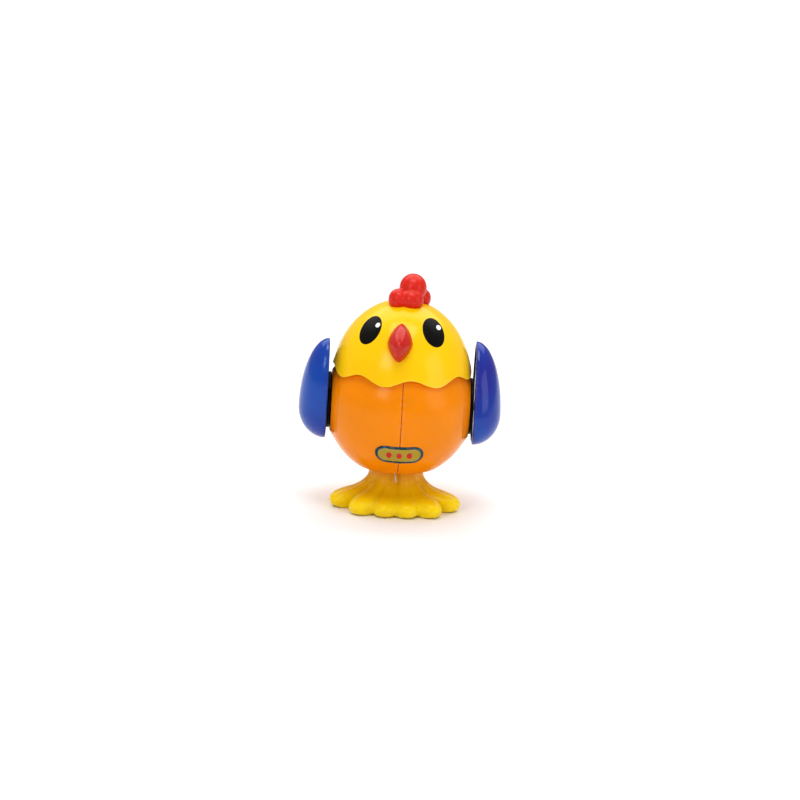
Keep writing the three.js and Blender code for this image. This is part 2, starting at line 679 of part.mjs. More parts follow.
// The whole foot as a lathe shape whose every section is stretched to the fan's outline.
function footBlank(inset) {
  const around = 48;
  const profile = footSection(HEEL_R).map(([r, z]) => new THREE.Vector2(r, z));
  const geometry = new THREE.LatheGeometry(profile, around);
  const position = geometry.attributes.position;
  for (let i = 0; i < position.count; i++) {
    const row = i % profile.length;
    const column = Math.floor(i / profile.length) % around;
    const turn = column * 2 * Math.PI / around;
    const signed = turn > Math.PI ? turn - 2 * Math.PI : turn;
    const [r, z] = footSection(fanReach(signed))[row];
    const radius = Math.max(0, r - (r > 0 ? inset : 0));
    const height = z > 1 ? z - inset * Math.min(1, z / 6) : z;
    const centre = FAN_Y * Math.min(1, Math.max(0, (NECK_TOP - z) / 12));
    position.setXYZ(i, radius * Math.sin(signed), centre - radius * Math.cos(signed), height);
  }
  return solidOf(geometry);
}

function slice(z0, z1) {
  return solidOf(block(-60, 60, -60, 60, z0, z1));
}

function footMoulding() {
  const neck = LEVER_HALF + GAP;
  const hollow = footBlank(WALL).translate([0, 0, -GAP]);
  let foot = footBlank(0).subtract(hollow);
  foot = foot.add(solidOf(block(-neck - 2, neck + 2, -6, 6, SOLE_T + GAP, NECK_TOP - 1)));
  for (const side of [-1, 1]) {
    const xs = LEG_EYE_X.map((x) => side * x).sort((a, b) => a - b);
    foot = foot.add(solidOf(rod(LEG_EYE_R, ...xs, 0, PIVOT_Z, 20)));
    foot = foot.add(solidOf(post(3, side * SOLE_SCREW.x, SOLE_SCREW.y, SOLE_T + GAP, NECK_TOP - 1)));
  }
  foot = cut(
    foot,
    rod(PIVOT_PIN_R + GAP, -30, 30, 0, PIVOT_Z, 12),
    block(-neck, neck, -3.8, 3.8, 5, 40),
    block(SPRING_X[0] - 1, SPRING_X[1] + 1, -4.2, 4.2, NECK_TOP - 1.6, 40),
    block(SPRING_X[0] - 1, SPRING_X[1] + 1, -20, 0, NECK_TOP - 1, 40),
    post(VALLEY_R, 0, -NECK_R - 0.6, 10, 40, 12),
  );
  for (const side of [-1, 1]) {
    foot = cut(foot, post(SCREW_R + GAP, side * SOLE_SCREW.x, SOLE_SCREW.y, 0, 12, 10));
  }
  return foot;
}

function solePlate() {
  let plate = footBlank(WALL + GAP).intersect(slice(0, SOLE_T));
  for (const side of [-1, 1]) {
    const at = [side * SOLE_SCREW.x, SOLE_SCREW.y];
    plate = cut(plate, post(SCREW_R + GAP, ...at, -1, 3, 10), post(2.3, ...at, -1, SOLE_SINK, 12));
  }
  return plate;
}

// The window leaves the crank pin's whole circle free at every angle of the foot.
function legLever() {
  const pinReach = CRANK_THROW + CRANK_PIN_R + GAP;
  const arm = CRANK_Z - PIVOT_Z;
  const halfWidth = arm * Math.sin(FOOT_SWING) + pinReach;
  const low = PIVOT_Z + arm * Math.cos(FOOT_SWING) - pinReach;
  const high = CRANK_Z + pinReach;
  const rim = 1.6;
  const frame = roundedRect(-halfWidth - rim, halfWidth + rim, low - rim, high + rim, 3);
  const opening = slab(roundedRect(-halfWidth, halfWidth, low, high, 1.4), -5, 5, 4);
  const head = slab(frame, -LEVER_HALF, LEVER_HALF, 5);
  const stem = block(-LEVER_HALF, LEVER_HALF, -2.6, 2.6, PIVOT_Z - 2, low - rim / 2);
  const boss = rod(3.6, -LEVER_HALF, LEVER_HALF, 0, PIVOT_Z, 20);
  const tang = block(-LEVER_HALF, LEVER_HALF, -3.5, 3.5, 5 + GAP, PIVOT_Z - 1);
  return cut(join(head, stem, boss, tang), opening, rod(PIVOT_PIN_R + GAP, -5, 5, 0, PIVOT_Z, 12));
}

// A coil round the pivot pin, with one end reaching up behind it and one down the front.
function footSpring() {
  const turns = 3.7;
  const perTurn = 10;
  const coilR = 2.7;
  const steps = turns * perTurn;
  const [x0, x1] = SPRING_X;
  const points = [new THREE.Vector3(x0, 3.4, 31.5)];
  for (let i = 0; i <= steps; i++) {
    const angle = -i * 2 * Math.PI / perTurn;
    const x = x0 + (x1 - x0) * i / steps;
    points.push(new THREE.Vector3(x, coilR * Math.cos(angle), PIVOT_Z + coilR * Math.sin(angle)));
  }
  const hookY = -NECK_R - 0.9;
  points.push(
    new THREE.Vector3(x1, -5, NECK_TOP + 0.5),
    new THREE.Vector3(x1, hookY + 2.9, NECK_TOP + 0.5),
    new THREE.Vector3(-0.8, hookY, NECK_TOP - 2),
    new THREE.Vector3(-0.2, hookY + 0.6, NECK_TOP - 7),
  );
  const wire = new THREE.Shape().absarc(0, 0, 0.35, 0, 2 * Math.PI);
  const extrudePath = new THREE.CatmullRomCurve3(points);
  const settings = { steps: 44, curveSegments: 3, extrudePath, bevelEnabled: false };
  return new THREE.ExtrudeGeometry(wire, settings);
}

// ---------------------------------------------------------------- assembly

const casing = groupAt(
  0, 0, 0,
  piece('body_left', bodyHalf(-1), ORANGE),
  piece('body_right', bodyHalf(1), ORANGE),
  piece('head_shell', headShell(), YELLOW),
  piece('eye_left', eye(-1), BLACK),
  piece('eye_right', eye(1), BLACK),
  piece('beak', beak(), RED),
  piece('comb', comb(), RED),
  piece('badge_rim', badgeRim(), BLACK),
  piece('badge_field', badgeField(), GOLD),
  piece('motor_plate_left', motorPlate(-1), STEEL),
  piece('motor_plate_right', motorPlate(1), STEEL),
  piece('foot_pivot_pin', rod(PIVOT_PIN_R, GAP - PIVOT_HOLE_X, PIVOT_HOLE_X - GAP, 0, PIVOT_Z, 12), STEEL),
  groupAt(0, ...CLICK_PIVOT, piece('click_pin', rod(CLICK_PIN_R, -SHAFT_END, -8.2, 0, 0, 10), STEEL)),
  groupAt(0, GOVERNOR_Y, GOVERNOR_Z, piece('governor_cup', governorCup(), BRASS)),
  groupAt(
    0, 0, BALL_Z,
    piece('arbor_bush_left', ring(BUSH_R, ARBOR_R + GAP, -SIDE_BOSS_X, -BUSH_X + 0.5, 8), NYLON),
    piece('arbor_bush_right', ring(BUSH_R, ARBOR_R + GAP, BUSH_X - 0.5, SIDE_BOSS_X, 8), NYLON),
  ),
);
PILLARS.forEach(([y, z], i) => casing.add(groupAt(0, y, z, piece(`pillar_${i + 1}`, pillar(), STEEL))));
CLOSING_SCREWS.forEach(([y, z], i) => {
  casing.add(groupAt(0, y, z, piece(`body_screw_${i + 1}`, screw(SCREW_SINK_X + 1.5, -8), STEEL)));
});

const winder = groupAt(
  0, 0, BALL_Z,
  piece('winding_arbor', rod(ARBOR_R, -ARBOR_END, ARBOR_END, 0, 0, 16), STEEL),
  piece('ratchet_wheel', ratchetWheel(), STEEL),
  wingGroup(-1, 'left'),
  wingGroup(1, 'right'),
);

const clickBody = groupAt(0, ...CLICK_PIVOT, piece('click', click(), BRASS));

const barrel = groupAt(
  0, 0, BALL_Z,
  piece('barrel_drum', barrelDrum(), BRASS),
  piece('barrel_lid', ring(BARREL_R, HUB_BORE, ...LID_X, 16), BRASS),
  piece('mainspring', mainspring(), STEEL),
);

const WHEEL_BORE = AXLE_R + GAP;
const intermediatePhase = INTERMEDIATE_TO_CRANK_ANGLE;
const pinionPhase = gapPhase(INTERMEDIATE_PINION_TEETH, BARREL_TO_INTERMEDIATE_ANGLE + Math.PI);
const intermediate = groupAt(
  0, INTERMEDIATE_Y, INTERMEDIATE_Z,
  piece('intermediate_arbor', rod(AXLE_R, -SHAFT_END, SHAFT_END, 0, 0, 12), STEEL),
  piece('intermediate_pinion', gear(INTERMEDIATE_PINION_TEETH, WHEEL_BORE, 5.8, 8.3, pinionPhase), NYLON),
  piece('intermediate_wheel', gear(INTERMEDIATE_TEETH, WHEEL_BORE, 9.5, 11, intermediatePhase), NYLON),
);

const crankPinionPhase = gapPhase(CRANK_PINION_TEETH, INTERMEDIATE_TO_CRANK_ANGLE + Math.PI);
const crank = groupAt(
  0, 0, CRANK_Z,
  piece('crankshaft', crankShaft(), STEEL),
  piece('crank_pinion', gear(CRANK_PINION_TEETH, WHEEL_BORE, 9.2, 11.3, crankPinionPhase), NYLON),
  piece('crank_wheel', gear(CRANK_TEETH, WHEEL_BORE, -7, -5.5, CRANK_TO_GOVERNOR_ANGLE), NYLON),
);

const governorPhase = gapPhase(GOVERNOR_PINION_TEETH, CRANK_TO_GOVERNOR_ANGLE + Math.PI);
const governor = groupAt(
  0, GOVERNOR_Y, GOVERNOR_Z,
  piece('governor_arbor', rod(AXLE_R, -SHAFT_END, SHAFT_END, 0, 0, 12), STEEL),
  piece('governor_pinion', gear(GOVERNOR_PINION_TEETH, WHEEL_BORE, -7.6, -5, governorPhase), NYLON),
  piece('governor_rotor', ring(2.6, WHEEL_BORE, ...WEIGHT_X, 8), NYLON),
  piece('brake_weight_1', brakeWeight(0), BRASS),
  piece('brake_weight_2', brakeWeight(Math.PI), BRASS),
);

const footBody = groupAt(
  0, 0, 0,
  piece('foot', footMoulding(), YELLOW),
  piece('sole_plate', solePlate(), YELLOW),
  piece('leg_lever', legLever(), NYLON),
  piece('foot_spring', footSpring(), STEEL),
);
['left', 'right'].forEach((name, i) => {
  const fastener = piece(`sole_screw_${name}`, screw(0, 9, 0.9), STEEL);
  fastener.rotation.y = -Math.PI / 2;
  footBody.add(groupAt((i * 2 - 1) * SOLE_SCREW.x, SOLE_SCREW.y, GAP, fastener));
});

const chicken = new THREE.Group();
chicken.add(casing, winder, clickBody, barrel, intermediate, crank, governor, footBody);
export default chicken;
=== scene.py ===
import json
import math

import bmesh
import bpy
from mathutils import Matrix, Vector


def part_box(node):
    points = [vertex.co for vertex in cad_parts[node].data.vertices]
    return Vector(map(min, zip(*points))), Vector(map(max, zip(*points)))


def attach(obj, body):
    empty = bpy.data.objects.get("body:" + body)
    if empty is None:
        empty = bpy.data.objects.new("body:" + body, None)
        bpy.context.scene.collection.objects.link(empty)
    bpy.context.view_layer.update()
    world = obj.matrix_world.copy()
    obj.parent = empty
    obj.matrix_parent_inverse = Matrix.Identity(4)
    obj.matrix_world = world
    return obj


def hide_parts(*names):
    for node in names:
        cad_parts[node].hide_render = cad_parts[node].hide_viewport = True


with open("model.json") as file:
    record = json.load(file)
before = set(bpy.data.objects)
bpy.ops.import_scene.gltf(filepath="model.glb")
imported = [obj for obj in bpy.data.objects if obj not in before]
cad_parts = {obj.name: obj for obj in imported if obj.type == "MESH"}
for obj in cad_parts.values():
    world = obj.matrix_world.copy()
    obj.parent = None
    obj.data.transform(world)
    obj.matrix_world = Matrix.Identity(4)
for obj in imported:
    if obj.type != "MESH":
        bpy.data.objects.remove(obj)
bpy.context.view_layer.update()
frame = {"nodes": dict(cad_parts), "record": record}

bl_info = {
    "name": "Wind-up hopping chicken",
    "version": (1, 0, 0),
    "blender": (4, 5, 0),
    "location": "3D View > Sidebar > Chicken",
    "description": "Moulded shells, painted face, wings and foot around a clockwork frame",
    "category": "Add Mesh",
}

MM = 0.001
SIDES = {"left": -1, "right": 1}
SCREW_SINK = 2.3 * MM  # radius of the recesses that the screw heads sit in


# ---------------------------------------------------------------- places read from the frame

BODY_LOW, BODY_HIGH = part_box("body_right")
WINDER_HUB_LOW, WINDER_HUB_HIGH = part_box("wing_right_hub")
WING_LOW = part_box("wing_right_shell")[0]
BUSH_LOW, BUSH_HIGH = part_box("arbor_bush_right")
ARBOR_Z = (BUSH_LOW.z + BUSH_HIGH.z) / 2
JOINTS = {joint["name"]: joint for joint in frame["record"]["behaviour"]["joints"]}
FOOT_PIVOT_Z = JOINTS["foot_kick"]["pos_m"][2]


# ---------------------------------------------------------------- properties

def length(name, description, value):
    return bpy.props.FloatProperty(
        name=name, description=description, default=value, unit="LENGTH", precision=5)


def colour(name, description, rgb):
    linear = [(c / 255 / 12.92) if c < 11 else ((c / 255 + 0.055) / 1.055) ** 2.4 for c in rgb]
    return bpy.props.FloatVectorProperty(
        name=name, description=description, default=linear, subtype="COLOR", min=0, max=1)


class ChickenSizes(bpy.types.PropertyGroup):
    ball_radius: length("Ball radius", "Outside radius of the body", BODY_HIGH.y)
    side_bevel: length("Side bevel", "Where the bevel of the ball's side starts", 34.6 * MM)
    side_boss: length("Side boss", "Distance of the round side boss's face", BODY_HIGH.x)
    side_boss_radius: length("Side boss radius", "Radius of the round side boss", 17 * MM)
    mouth_radius: length("Mouth radius", "Opening that the legs come out of", 19.2 * MM)
    collar: length("Collar height", "Top edge of the body inside the head", 81 * MM)
    seam: length("Seam", "Half the gap between the body halves", 0.15 * MM)
    head_radius: length("Head radius", "Radius of the head cap at its widest", 38.5 * MM)
    head_height: length("Head height", "Rise of the head cap above its middle", 45 * MM)
    head_middle: length("Head middle", "Height of the head cap's widest level", 71 * MM)
    brim: length("Brim level", "Mean height of the wavy brim", 78 * MM)
    brim_wave: length("Brim wave", "Half the height of the brim's waves", 2.1 * MM)
    wing_depth: length("Wing depth", "Depth of a wing's dome", 15.5 * MM)
    wing_half_width: length("Wing half width", "Half the width of a wing", 18.8 * MM)
    wing_belly: length("Wing belly", "Level of a wing's widest part, from its hub", -4 * MM)
    wing_up: length("Wing up", "Reach of a wing above its belly", 40 * MM)
    wing_down: length("Wing down", "Reach of a wing below its belly", 17.4 * MM)
    hub_radius: length("Hub radius", "Radius of the black wing hub", 15.5 * MM)
    wing_lean: bpy.props.FloatProperty(
        name="Wing lean", description="Left wing leans forward and right wing back",
        default=math.radians(9), subtype="ANGLE")


class ChickenColours(bpy.types.PropertyGroup):
    orange: colour("Body", "Moulded colour of the body", (243, 142, 0))
    yellow: colour("Head and foot", "Moulded colour of the head and foot", (253, 202, 0))
    # Painted shade: the darker, more orange yellow that the foot fades to towards its neck, under the body.
    neck_shade: colour("Neck shade", "Painted shade that the foot fades to under the body", (236, 150, 16))
    blue: colour("Wings", "Moulded colour of the wings", (18, 78, 172))
    wing_shade: colour("Wing shade", "Painted shade hue mixed into the wings' blue in cloudy patches", (46, 38, 142))
    # Painted shade: the purple of the wings' shaded side, mixed into their blue in large cloudy patches.
    red: colour("Comb and beak", "Moulded colour of the comb and beak", (228, 46, 30))
    black: colour("Eyes and hubs", "Colour of the eyes and hubs", (20, 18, 17))
    white: colour("Glints", "Printed glints in the eyes", (250, 250, 250))
    teal: colour("Badge rim", "Rim of the badge", (14, 62, 78))
    gold: colour("Badge field", "Field of the badge", (176, 150, 52))


def sizes():
    return bpy.context.scene.chicken_sizes


def colours():
    return bpy.context.scene.chicken_colours


# ---------------------------------------------------------------- mesh helpers

def new_piece(name, bm, body, material, replaced=(), sharp=40):
    bmesh.ops.recalc_face_normals(bm, faces=bm.faces)
    mesh = bpy.data.meshes.new(name)
    bm.to_mesh(mesh)
    bm.free()
    for polygon in mesh.polygons:
        polygon.use_smooth = True
    mesh.set_sharp_from_angle(angle=math.radians(sharp))
    mark_wear(mesh)
    mesh.materials.append(material)
    piece = bpy.data.objects.new(name, mesh)
    bpy.context.collection.objects.link(piece)
    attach(piece, body)
    if replaced:
        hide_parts(*replaced)
    return piece


def mark_wear(mesh):
    """Stores how sharply the surface bends at each vertex, for worn edges."""
    bm = bmesh.new()
    bm.from_mesh(mesh)
    values = []
    for vert in bm.verts:
        angles = [edge.calc_face_angle_signed(0) for edge in vert.link_edges]
        bend = max(angles, default=0)
        values.append(min(1.0, max(0.0, bend / math.radians(50))))
    bm.free()
    wear = mesh.attributes.new("wear", "FLOAT", "POINT")
    wear.data.foreach_set("value", values)


def add_rings(bm, rings, close_rows=False, cap_ends=True):
    """Joins rings of equally many points into a skin and returns its vertices."""
    rows = [[bm.verts.new(point) for point in ring] for ring in rings]
    pairs = list(zip(rows, rows[1:]))
    if close_rows:
        pairs.append((rows[-1], rows[0]))
    for lower, upper in pairs:
        for i in range(len(lower)):
            j = (i + 1) % len(lower)
            bm.faces.new((lower[i], lower[j], upper[j], upper[i]))
    if cap_ends and not close_rows:
        for row in (rows[0], rows[-1]):
            close_fan(bm, row)
    return rows


def close_fan(bm, row):
    middle = bm.verts.new(sum((vert.co for vert in row), Vector()) / len(row))
    for i in range(len(row)):
        bm.faces.new((row[i], row[(i + 1) % len(row)], middle))


def ellipse_turns(count):
    return [2 * math.pi * i / count for i in range(count)]


def turned_profile(profile, count=96):
    """Rings about the X axis, through the arbor, from (x, radius) pairs."""
    rings = []
    for x, radius in profile:
        rings.append([
            Vector((x, radius * math.cos(t), ARBOR_Z + radius * math.sin(t)))
            for t in ellipse_turns(count)])
    return rings


def smooth_path(points, per_span):
    """Catmull-Rom points through a list of tuples."""
    result = []
    last = len(points) - 1
    for i in range(last):
        p0, p1 = Vector(points[max(i - 1, 0)]), Vector(points[i])
        p2, p3 = Vector(points[i + 1]), Vector(points[min(i + 2, last)])
        for step in range(per_span):
            t = step / per_span
            result.append(0.5 * (
                2 * p1 + (p2 - p0) * t
                + (2 * p0 - 5 * p1 + 4 * p2 - p3) * t * t
                + (3 * p1 - p0 - 3 * p2 + p3) * t ** 3))
    result.append(Vector(points[-1]))
    return result


def cut_with(piece, cutters):
    """Takes the cutters' shapes out of a piece for good."""
    for cutter in cutters:
        modifier = piece.modifiers.new("cut", "BOOLEAN")
        modifier.object = cutter
        modifier.solver = "EXACT"
    graph = bpy.context.evaluated_depsgraph_get()
    mesh = bpy.data.meshes.new_from_object(piece.evaluated_get(graph))
    piece.modifiers.clear()
    piece.data = mesh
    mesh.set_sharp_from_angle(angle=math.radians(40))
    for cutter in cutters:
        bpy.data.objects.remove(cutter)


def drill(radius, start, end, count=32):
    """A round cutter between two points."""
    axis = (end - start).normalized()
    across = axis.orthogonal().normalized()
    other = axis.cross(across)
    bm = bmesh.new()
    add_rings(bm, [
        [at + radius * (math.cos(t) * across + math.sin(t) * other) for t in ellipse_turns(count)]
        for at in (start, end)])
    bmesh.ops.recalc_face_normals(bm, faces=bm.faces)
    mesh = bpy.data.meshes.new("drill")
    bm.to_mesh(mesh)
    bm.free()
    cutter = bpy.data.objects.new("drill", mesh)
    bpy.context.collection.objects.link(cutter)
    return cutter


# ---------------------------------------------------------------- materials

def start_material(name):
    material = bpy.data.materials.new(name)
    material.use_nodes = True
    nodes = material.node_tree.nodes
    return material, nodes, material.node_tree.links, nodes["Principled BSDF"]


def noise(nodes, links, coordinates, scale, detail, roughness=0.5):
    node = nodes.new("ShaderNodeTexNoise")
    node.inputs["Scale"].default_value = scale
    node.inputs["Detail"].default_value = detail
    node.inputs["Roughness"].default_value = roughness
    links.new(coordinates, node.inputs["Vector"])
    return node.outputs["Fac"]


def spread(nodes, links, source, low, high, from_low=0.0, from_high=1.0):
    node = nodes.new("ShaderNodeMapRange")
    node.inputs["From Min"].default_value = from_low
    node.inputs["From Max"].default_value = from_high
    node.inputs["To Min"].default_value = low
    node.inputs["To Max"].default_value = high
    links.new(source, node.inputs["Value"])
    return node.outputs["Result"]


def blend_colours(nodes, links, factor, first, second):
    node = nodes.new("ShaderNodeMix")
    node.data_type = "RGBA"
    links.new(factor, node.inputs["Factor"])
    for socket, value in ((node.inputs[6], first), (node.inputs[7], second)):
        if isinstance(value, bpy.types.NodeSocket):
            links.new(value, socket)
        else:
            socket.default_value = (*value, 1)
    return node.outputs[2]


def tone(rgb, factor):
    return tuple(min(1.0, c * factor) for c in rgb)


def moulded_plastic(name, rgb, roughness=0.22, gloss=0.2, shaded_hue=None, rub=0.45, shade_by_height=None):
    """Injection-moulded plastic: faint flow marks, orange-peel skin, hairline scratches, rubbed edges; a
    second hue, when given, is painted shade mixed in over large cloudy patches.

    The optional tint, with two heights in mm, is painted shade: the colour fades into the darker, more
    orange tint between the two heights, fully at the upper one.
    """
    material, nodes, links, shader = start_material(name)
    place = nodes.new("ShaderNodeTexCoord").outputs["Object"]
    cloudy = noise(nodes, links, place, 20 if shaded_hue else 38, 2 if shaded_hue else 3)
    mottled = noise(nodes, links, place, 420, 4)
    fine = noise(nodes, links, place, 2600, 2)
    # Painted shade on the wings: the cloudy noise spreads their shaded purple over large patches of the
    # blue; for the other plastics it gives only a faint random tone.
    base = blend_colours(
        nodes, links, spread(nodes, links, cloudy, 0.0, 1.0, 0.35, 0.65),
        shaded_hue or tone(rgb, 0.95), rgb if shaded_hue else tone(rgb, 1.03))
    # Painted shade: fades the colour into a darker tint between two heights, fully at the upper one; on the
    # foot this is its neck under the body.
    if shade_by_height:
        tint, low, high = shade_by_height
        height = nodes.new("ShaderNodeSeparateXYZ")
        links.new(place, height.inputs["Vector"])
        depth = spread(nodes, links, height.outputs["Z"], 0.0, 1.0, low * MM, high * MM)
        base = blend_colours(nodes, links, depth, base, tint)
    dusty = spread(nodes, links, mottled, 0.0, 0.05, 0.55, 0.8)
    base = blend_colours(nodes, links, dusty, base, tone(rgb, 0.7))
    wear = nodes.new("ShaderNodeAttribute")
    wear.attribute_name = "wear"
    worn = nodes.new("ShaderNodeMath")
    worn.operation = "MULTIPLY"
    links.new(wear.outputs["Fac"], worn.inputs[0])
    links.new(spread(nodes, links, mottled, 0.0, rub, 0.42, 0.62), worn.inputs[1])
    pale = tuple(c + (1 - c) * 0.35 for c in rgb)
    base = blend_colours(nodes, links, worn.outputs["Value"], base, pale)
    links.new(base, shader.inputs["Base Color"])
    scratches = nodes.new("ShaderNodeTexWave")
    scratches.inputs["Scale"].default_value = 55
    scratches.inputs["Distortion"].default_value = 26
    scratches.inputs["Detail"].default_value = 5
    scratches.inputs["Detail Scale"].default_value = 2.2
    links.new(place, scratches.inputs["Vector"])
    hairline = spread(nodes, links, scratches.outputs["Fac"], 0.0, 0.05, 0.96, 1.0)
    rough = nodes.new("ShaderNodeMath")
    rough.operation = "ADD"
    links.new(spread(nodes, links, mottled, roughness - 0.03, roughness + 0.05, 0.3, 0.7), rough.inputs[0])
    links.new(hairline, rough.inputs[1])
    links.new(rough.outputs["Value"], shader.inputs["Roughness"])
    peel = nodes.new("ShaderNodeBump")
    peel.inputs["Strength"].default_value = 0.05
    peel.inputs["Distance"].default_value = 0.00012
    links.new(noise(nodes, links, place, 760, 3), peel.inputs["Height"])
    grain = nodes.new("ShaderNodeBump")
    grain.inputs["Strength"].default_value = 0.03
    grain.inputs["Distance"].default_value = 0.00004
    links.new(fine, grain.inputs["Height"])
    links.new(peel.outputs["Normal"], grain.inputs["Normal"])
    links.new(grain.outputs["Normal"], shader.inputs["Normal"])
    shader.inputs["Specular IOR Level"].default_value = gloss
    return material


def machined_metal(name, rgb, roughness, brushed=900):
    """Bright metal with fine turning marks, fingerprints and dull patches."""
    material, nodes, links, shader = start_material(name)
    place = nodes.new("ShaderNodeTexCoord").outputs["Object"]
    stretch = nodes.new("ShaderNodeMapping")
    stretch.inputs["Scale"].default_value = (brushed, 60, 60)
    links.new(place, stretch.inputs["Vector"])
    lines = noise(nodes, links, stretch.outputs["Vector"], 1.0, 4, 0.7)
    patches = noise(nodes, links, place, 160, 3)
    base = blend_colours(
        nodes, links, spread(nodes, links, patches, 0.0, 1.0, 0.35, 0.7), rgb, tone(rgb, 0.72))
    links.new(base, shader.inputs["Base Color"])
    links.new(spread(nodes, links, lines, roughness - 0.06, roughness + 0.14), shader.inputs["Roughness"])
    bump = nodes.new("ShaderNodeBump")
    bump.inputs["Strength"].default_value = 0.12
    bump.inputs["Distance"].default_value = 0.00005
    links.new(lines, bump.inputs["Height"])
    links.new(bump.outputs["Normal"], shader.inputs["Normal"])
    shader.inputs["Metallic"].default_value = 1.0
    return material


def natural_nylon(name, rgb):
    """Milky unpainted nylon with a soft mottle."""
    material, nodes, links, shader = start_material(name)
    place = nodes.new("ShaderNodeTexCoord").outputs["Object"]
    mottle = noise(nodes, links, place, 300, 4)
    base = blend_colours(nodes, links, mottle, tone(rgb, 0.94), tone(rgb, 1.03))
    links.new(base, shader.inputs["Base Color"])
    links.new(spread(nodes, links, mottle, 0.42, 0.58), shader.inputs["Roughness"])
    bump = nodes.new("ShaderNodeBump")
    bump.inputs["Strength"].default_value = 0.06
    bump.inputs["Distance"].default_value = 0.00008
    links.new(noise(nodes, links, place, 1500, 2), bump.inputs["Height"])
    links.new(bump.outputs["Normal"], shader.inputs["Normal"])
    return material


FINISHES = {}


def finish(name):
    """Makes each finish once, the first time that a piece asks for it."""
    if name not in FINISHES:
        FINISHES[name] = FINISH_RECIPES[name]()
    return FINISHES[name]


FINISH_RECIPES = {
    "orange": lambda: moulded_plastic("orange_gloss", colours().orange, 0.16, 0.2),
    "yellow": lambda: moulded_plastic("yellow_gloss", colours().yellow, 0.18, 0.3),
    # The foot fades into painted shade, darker and more orange, from 7 mm up to 22 mm, where it sits under
    # the body.
    "foot_yellow": lambda: moulded_plastic(
        "yellow_foot", tone(colours().yellow, 1.2), 0.22, 0.25, shade_by_height=(colours().neck_shade, 7, 22)),
    # The wings mix painted shade, the purple of their shaded side, into the blue in large cloudy patches.
    "blue": lambda: moulded_plastic("blue_gloss", colours().blue, 0.12, 0.4, colours().wing_shade, 0.1),
    "red": lambda: moulded_plastic("red_gloss", tone(colours().red, 0.72), 0.16, 0.35, None, 0.2),
    "comb_red": lambda: moulded_plastic("red_satin", tone(colours().red, 0.88), 0.26, 0.3),
    "black": lambda: moulded_plastic("black_gloss", colours().black, 0.3, 0.12, None, 0.02),
    "white": lambda: moulded_plastic("white_print", colours().white, 0.35, 0.2),
    "teal": lambda: moulded_plastic("teal_print", colours().teal, 0.3, 0.2),
    "gold": lambda: moulded_plastic("gold_print", colours().gold, 0.35, 0.2),
    "steel": lambda: machined_metal("bright_steel", (0.62, 0.63, 0.65), 0.26),
    "brass": lambda: machined_metal("turned_brass", (0.72, 0.5, 0.2), 0.28),
    "nylon": lambda: natural_nylon("natural_nylon", (0.8, 0.77, 0.7)),
}


# ---------------------------------------------------------------- body halves

def body_section():
    """Closed section of the body wall about Z, outside up and inside down, as (radius, height)."""
    s = sizes()
    outer_count = 44
    low = math.asin((23.9 * MM - ARBOR_Z) / s.ball_radius)
    high = math.asin((s.collar - ARBOR_Z) / s.ball_radius)
    outer = []
    for i in range(outer_count):
        angle = low + (high - low) * i / (outer_count - 1)
        outer.append((s.ball_radius * math.cos(angle), ARBOR_Z + s.ball_radius * math.sin(angle)))
    rim = [(21.55, 23.35), (21.1, 23.06), (20.5, 23.0)]
    outer = [(r * MM, z * MM) for r, z in reversed(rim)] + outer
    inner_radius = 36.9 * MM
    inner = [(s.mouth_radius + 0.35 * MM, 23.05 * MM), (s.mouth_radius, 23.5 * MM)]
    low = math.asin(-math.sqrt(1 - (s.mouth_radius / inner_radius) ** 2))
    high = math.asin((s.collar - ARBOR_Z) / inner_radius)
    inner_count = len(outer) - len(inner)
    for i in range(inner_count):
        angle = low + (high - low) * i / (inner_count - 1)
        inner.append((inner_radius * math.cos(angle), ARBOR_Z + inner_radius * math.sin(angle)))
    return outer, inner


SEAM_STEPS = ((0.0, 0.5), (0.06, 0.22), (0.16, 0.06), (0.4, 0.0))  # beyond the seam, and set in


def body_half(side):
    s = sizes()
    outer, inner = body_section()
    columns = []
    for end in (1, -1):
        steps = [(s.seam + out * MM, inset * MM, None) for out, inset in SEAM_STEPS]
        if end == -1:
            steps.reverse()
            columns += [(0, 0, math.radians(2.5 * i)) for i in range(1, 72)]
        columns += [(x, inset, end) for x, inset, _ in steps]
    bm = bmesh.new()
    rings = []
    for column in columns:
        ring = []
        for index, (radius, height) in enumerate(outer + inner[::-1]):
            x, inset, turn = column
            if x == 0:
                ring.append(Vector((
                    side * radius * math.sin(turn), -radius * math.cos(turn), height)))
                continue
            shrink = 1 - (inset / s.ball_radius if index < len(outer) else 0)
            depth = math.sqrt(max(radius * radius - x * x, 0)) * shrink
            level = ARBOR_Z + (height - ARBOR_Z) * shrink
            ring.append(Vector((side * x, -turn * depth, max(level, BODY_LOW.z))))
        rings.append(ring)
    rows = add_rings(bm, rings, cap_ends=False)
    count = len(outer)
    for row in (rows[0], rows[-1]):
        for i in range(count - 1):
            bm.faces.new((row[i], row[i + 1], row[2 * count - 2 - i], row[2 * count - 1 - i]))
    add_side_boss(bm, side)
    return bm


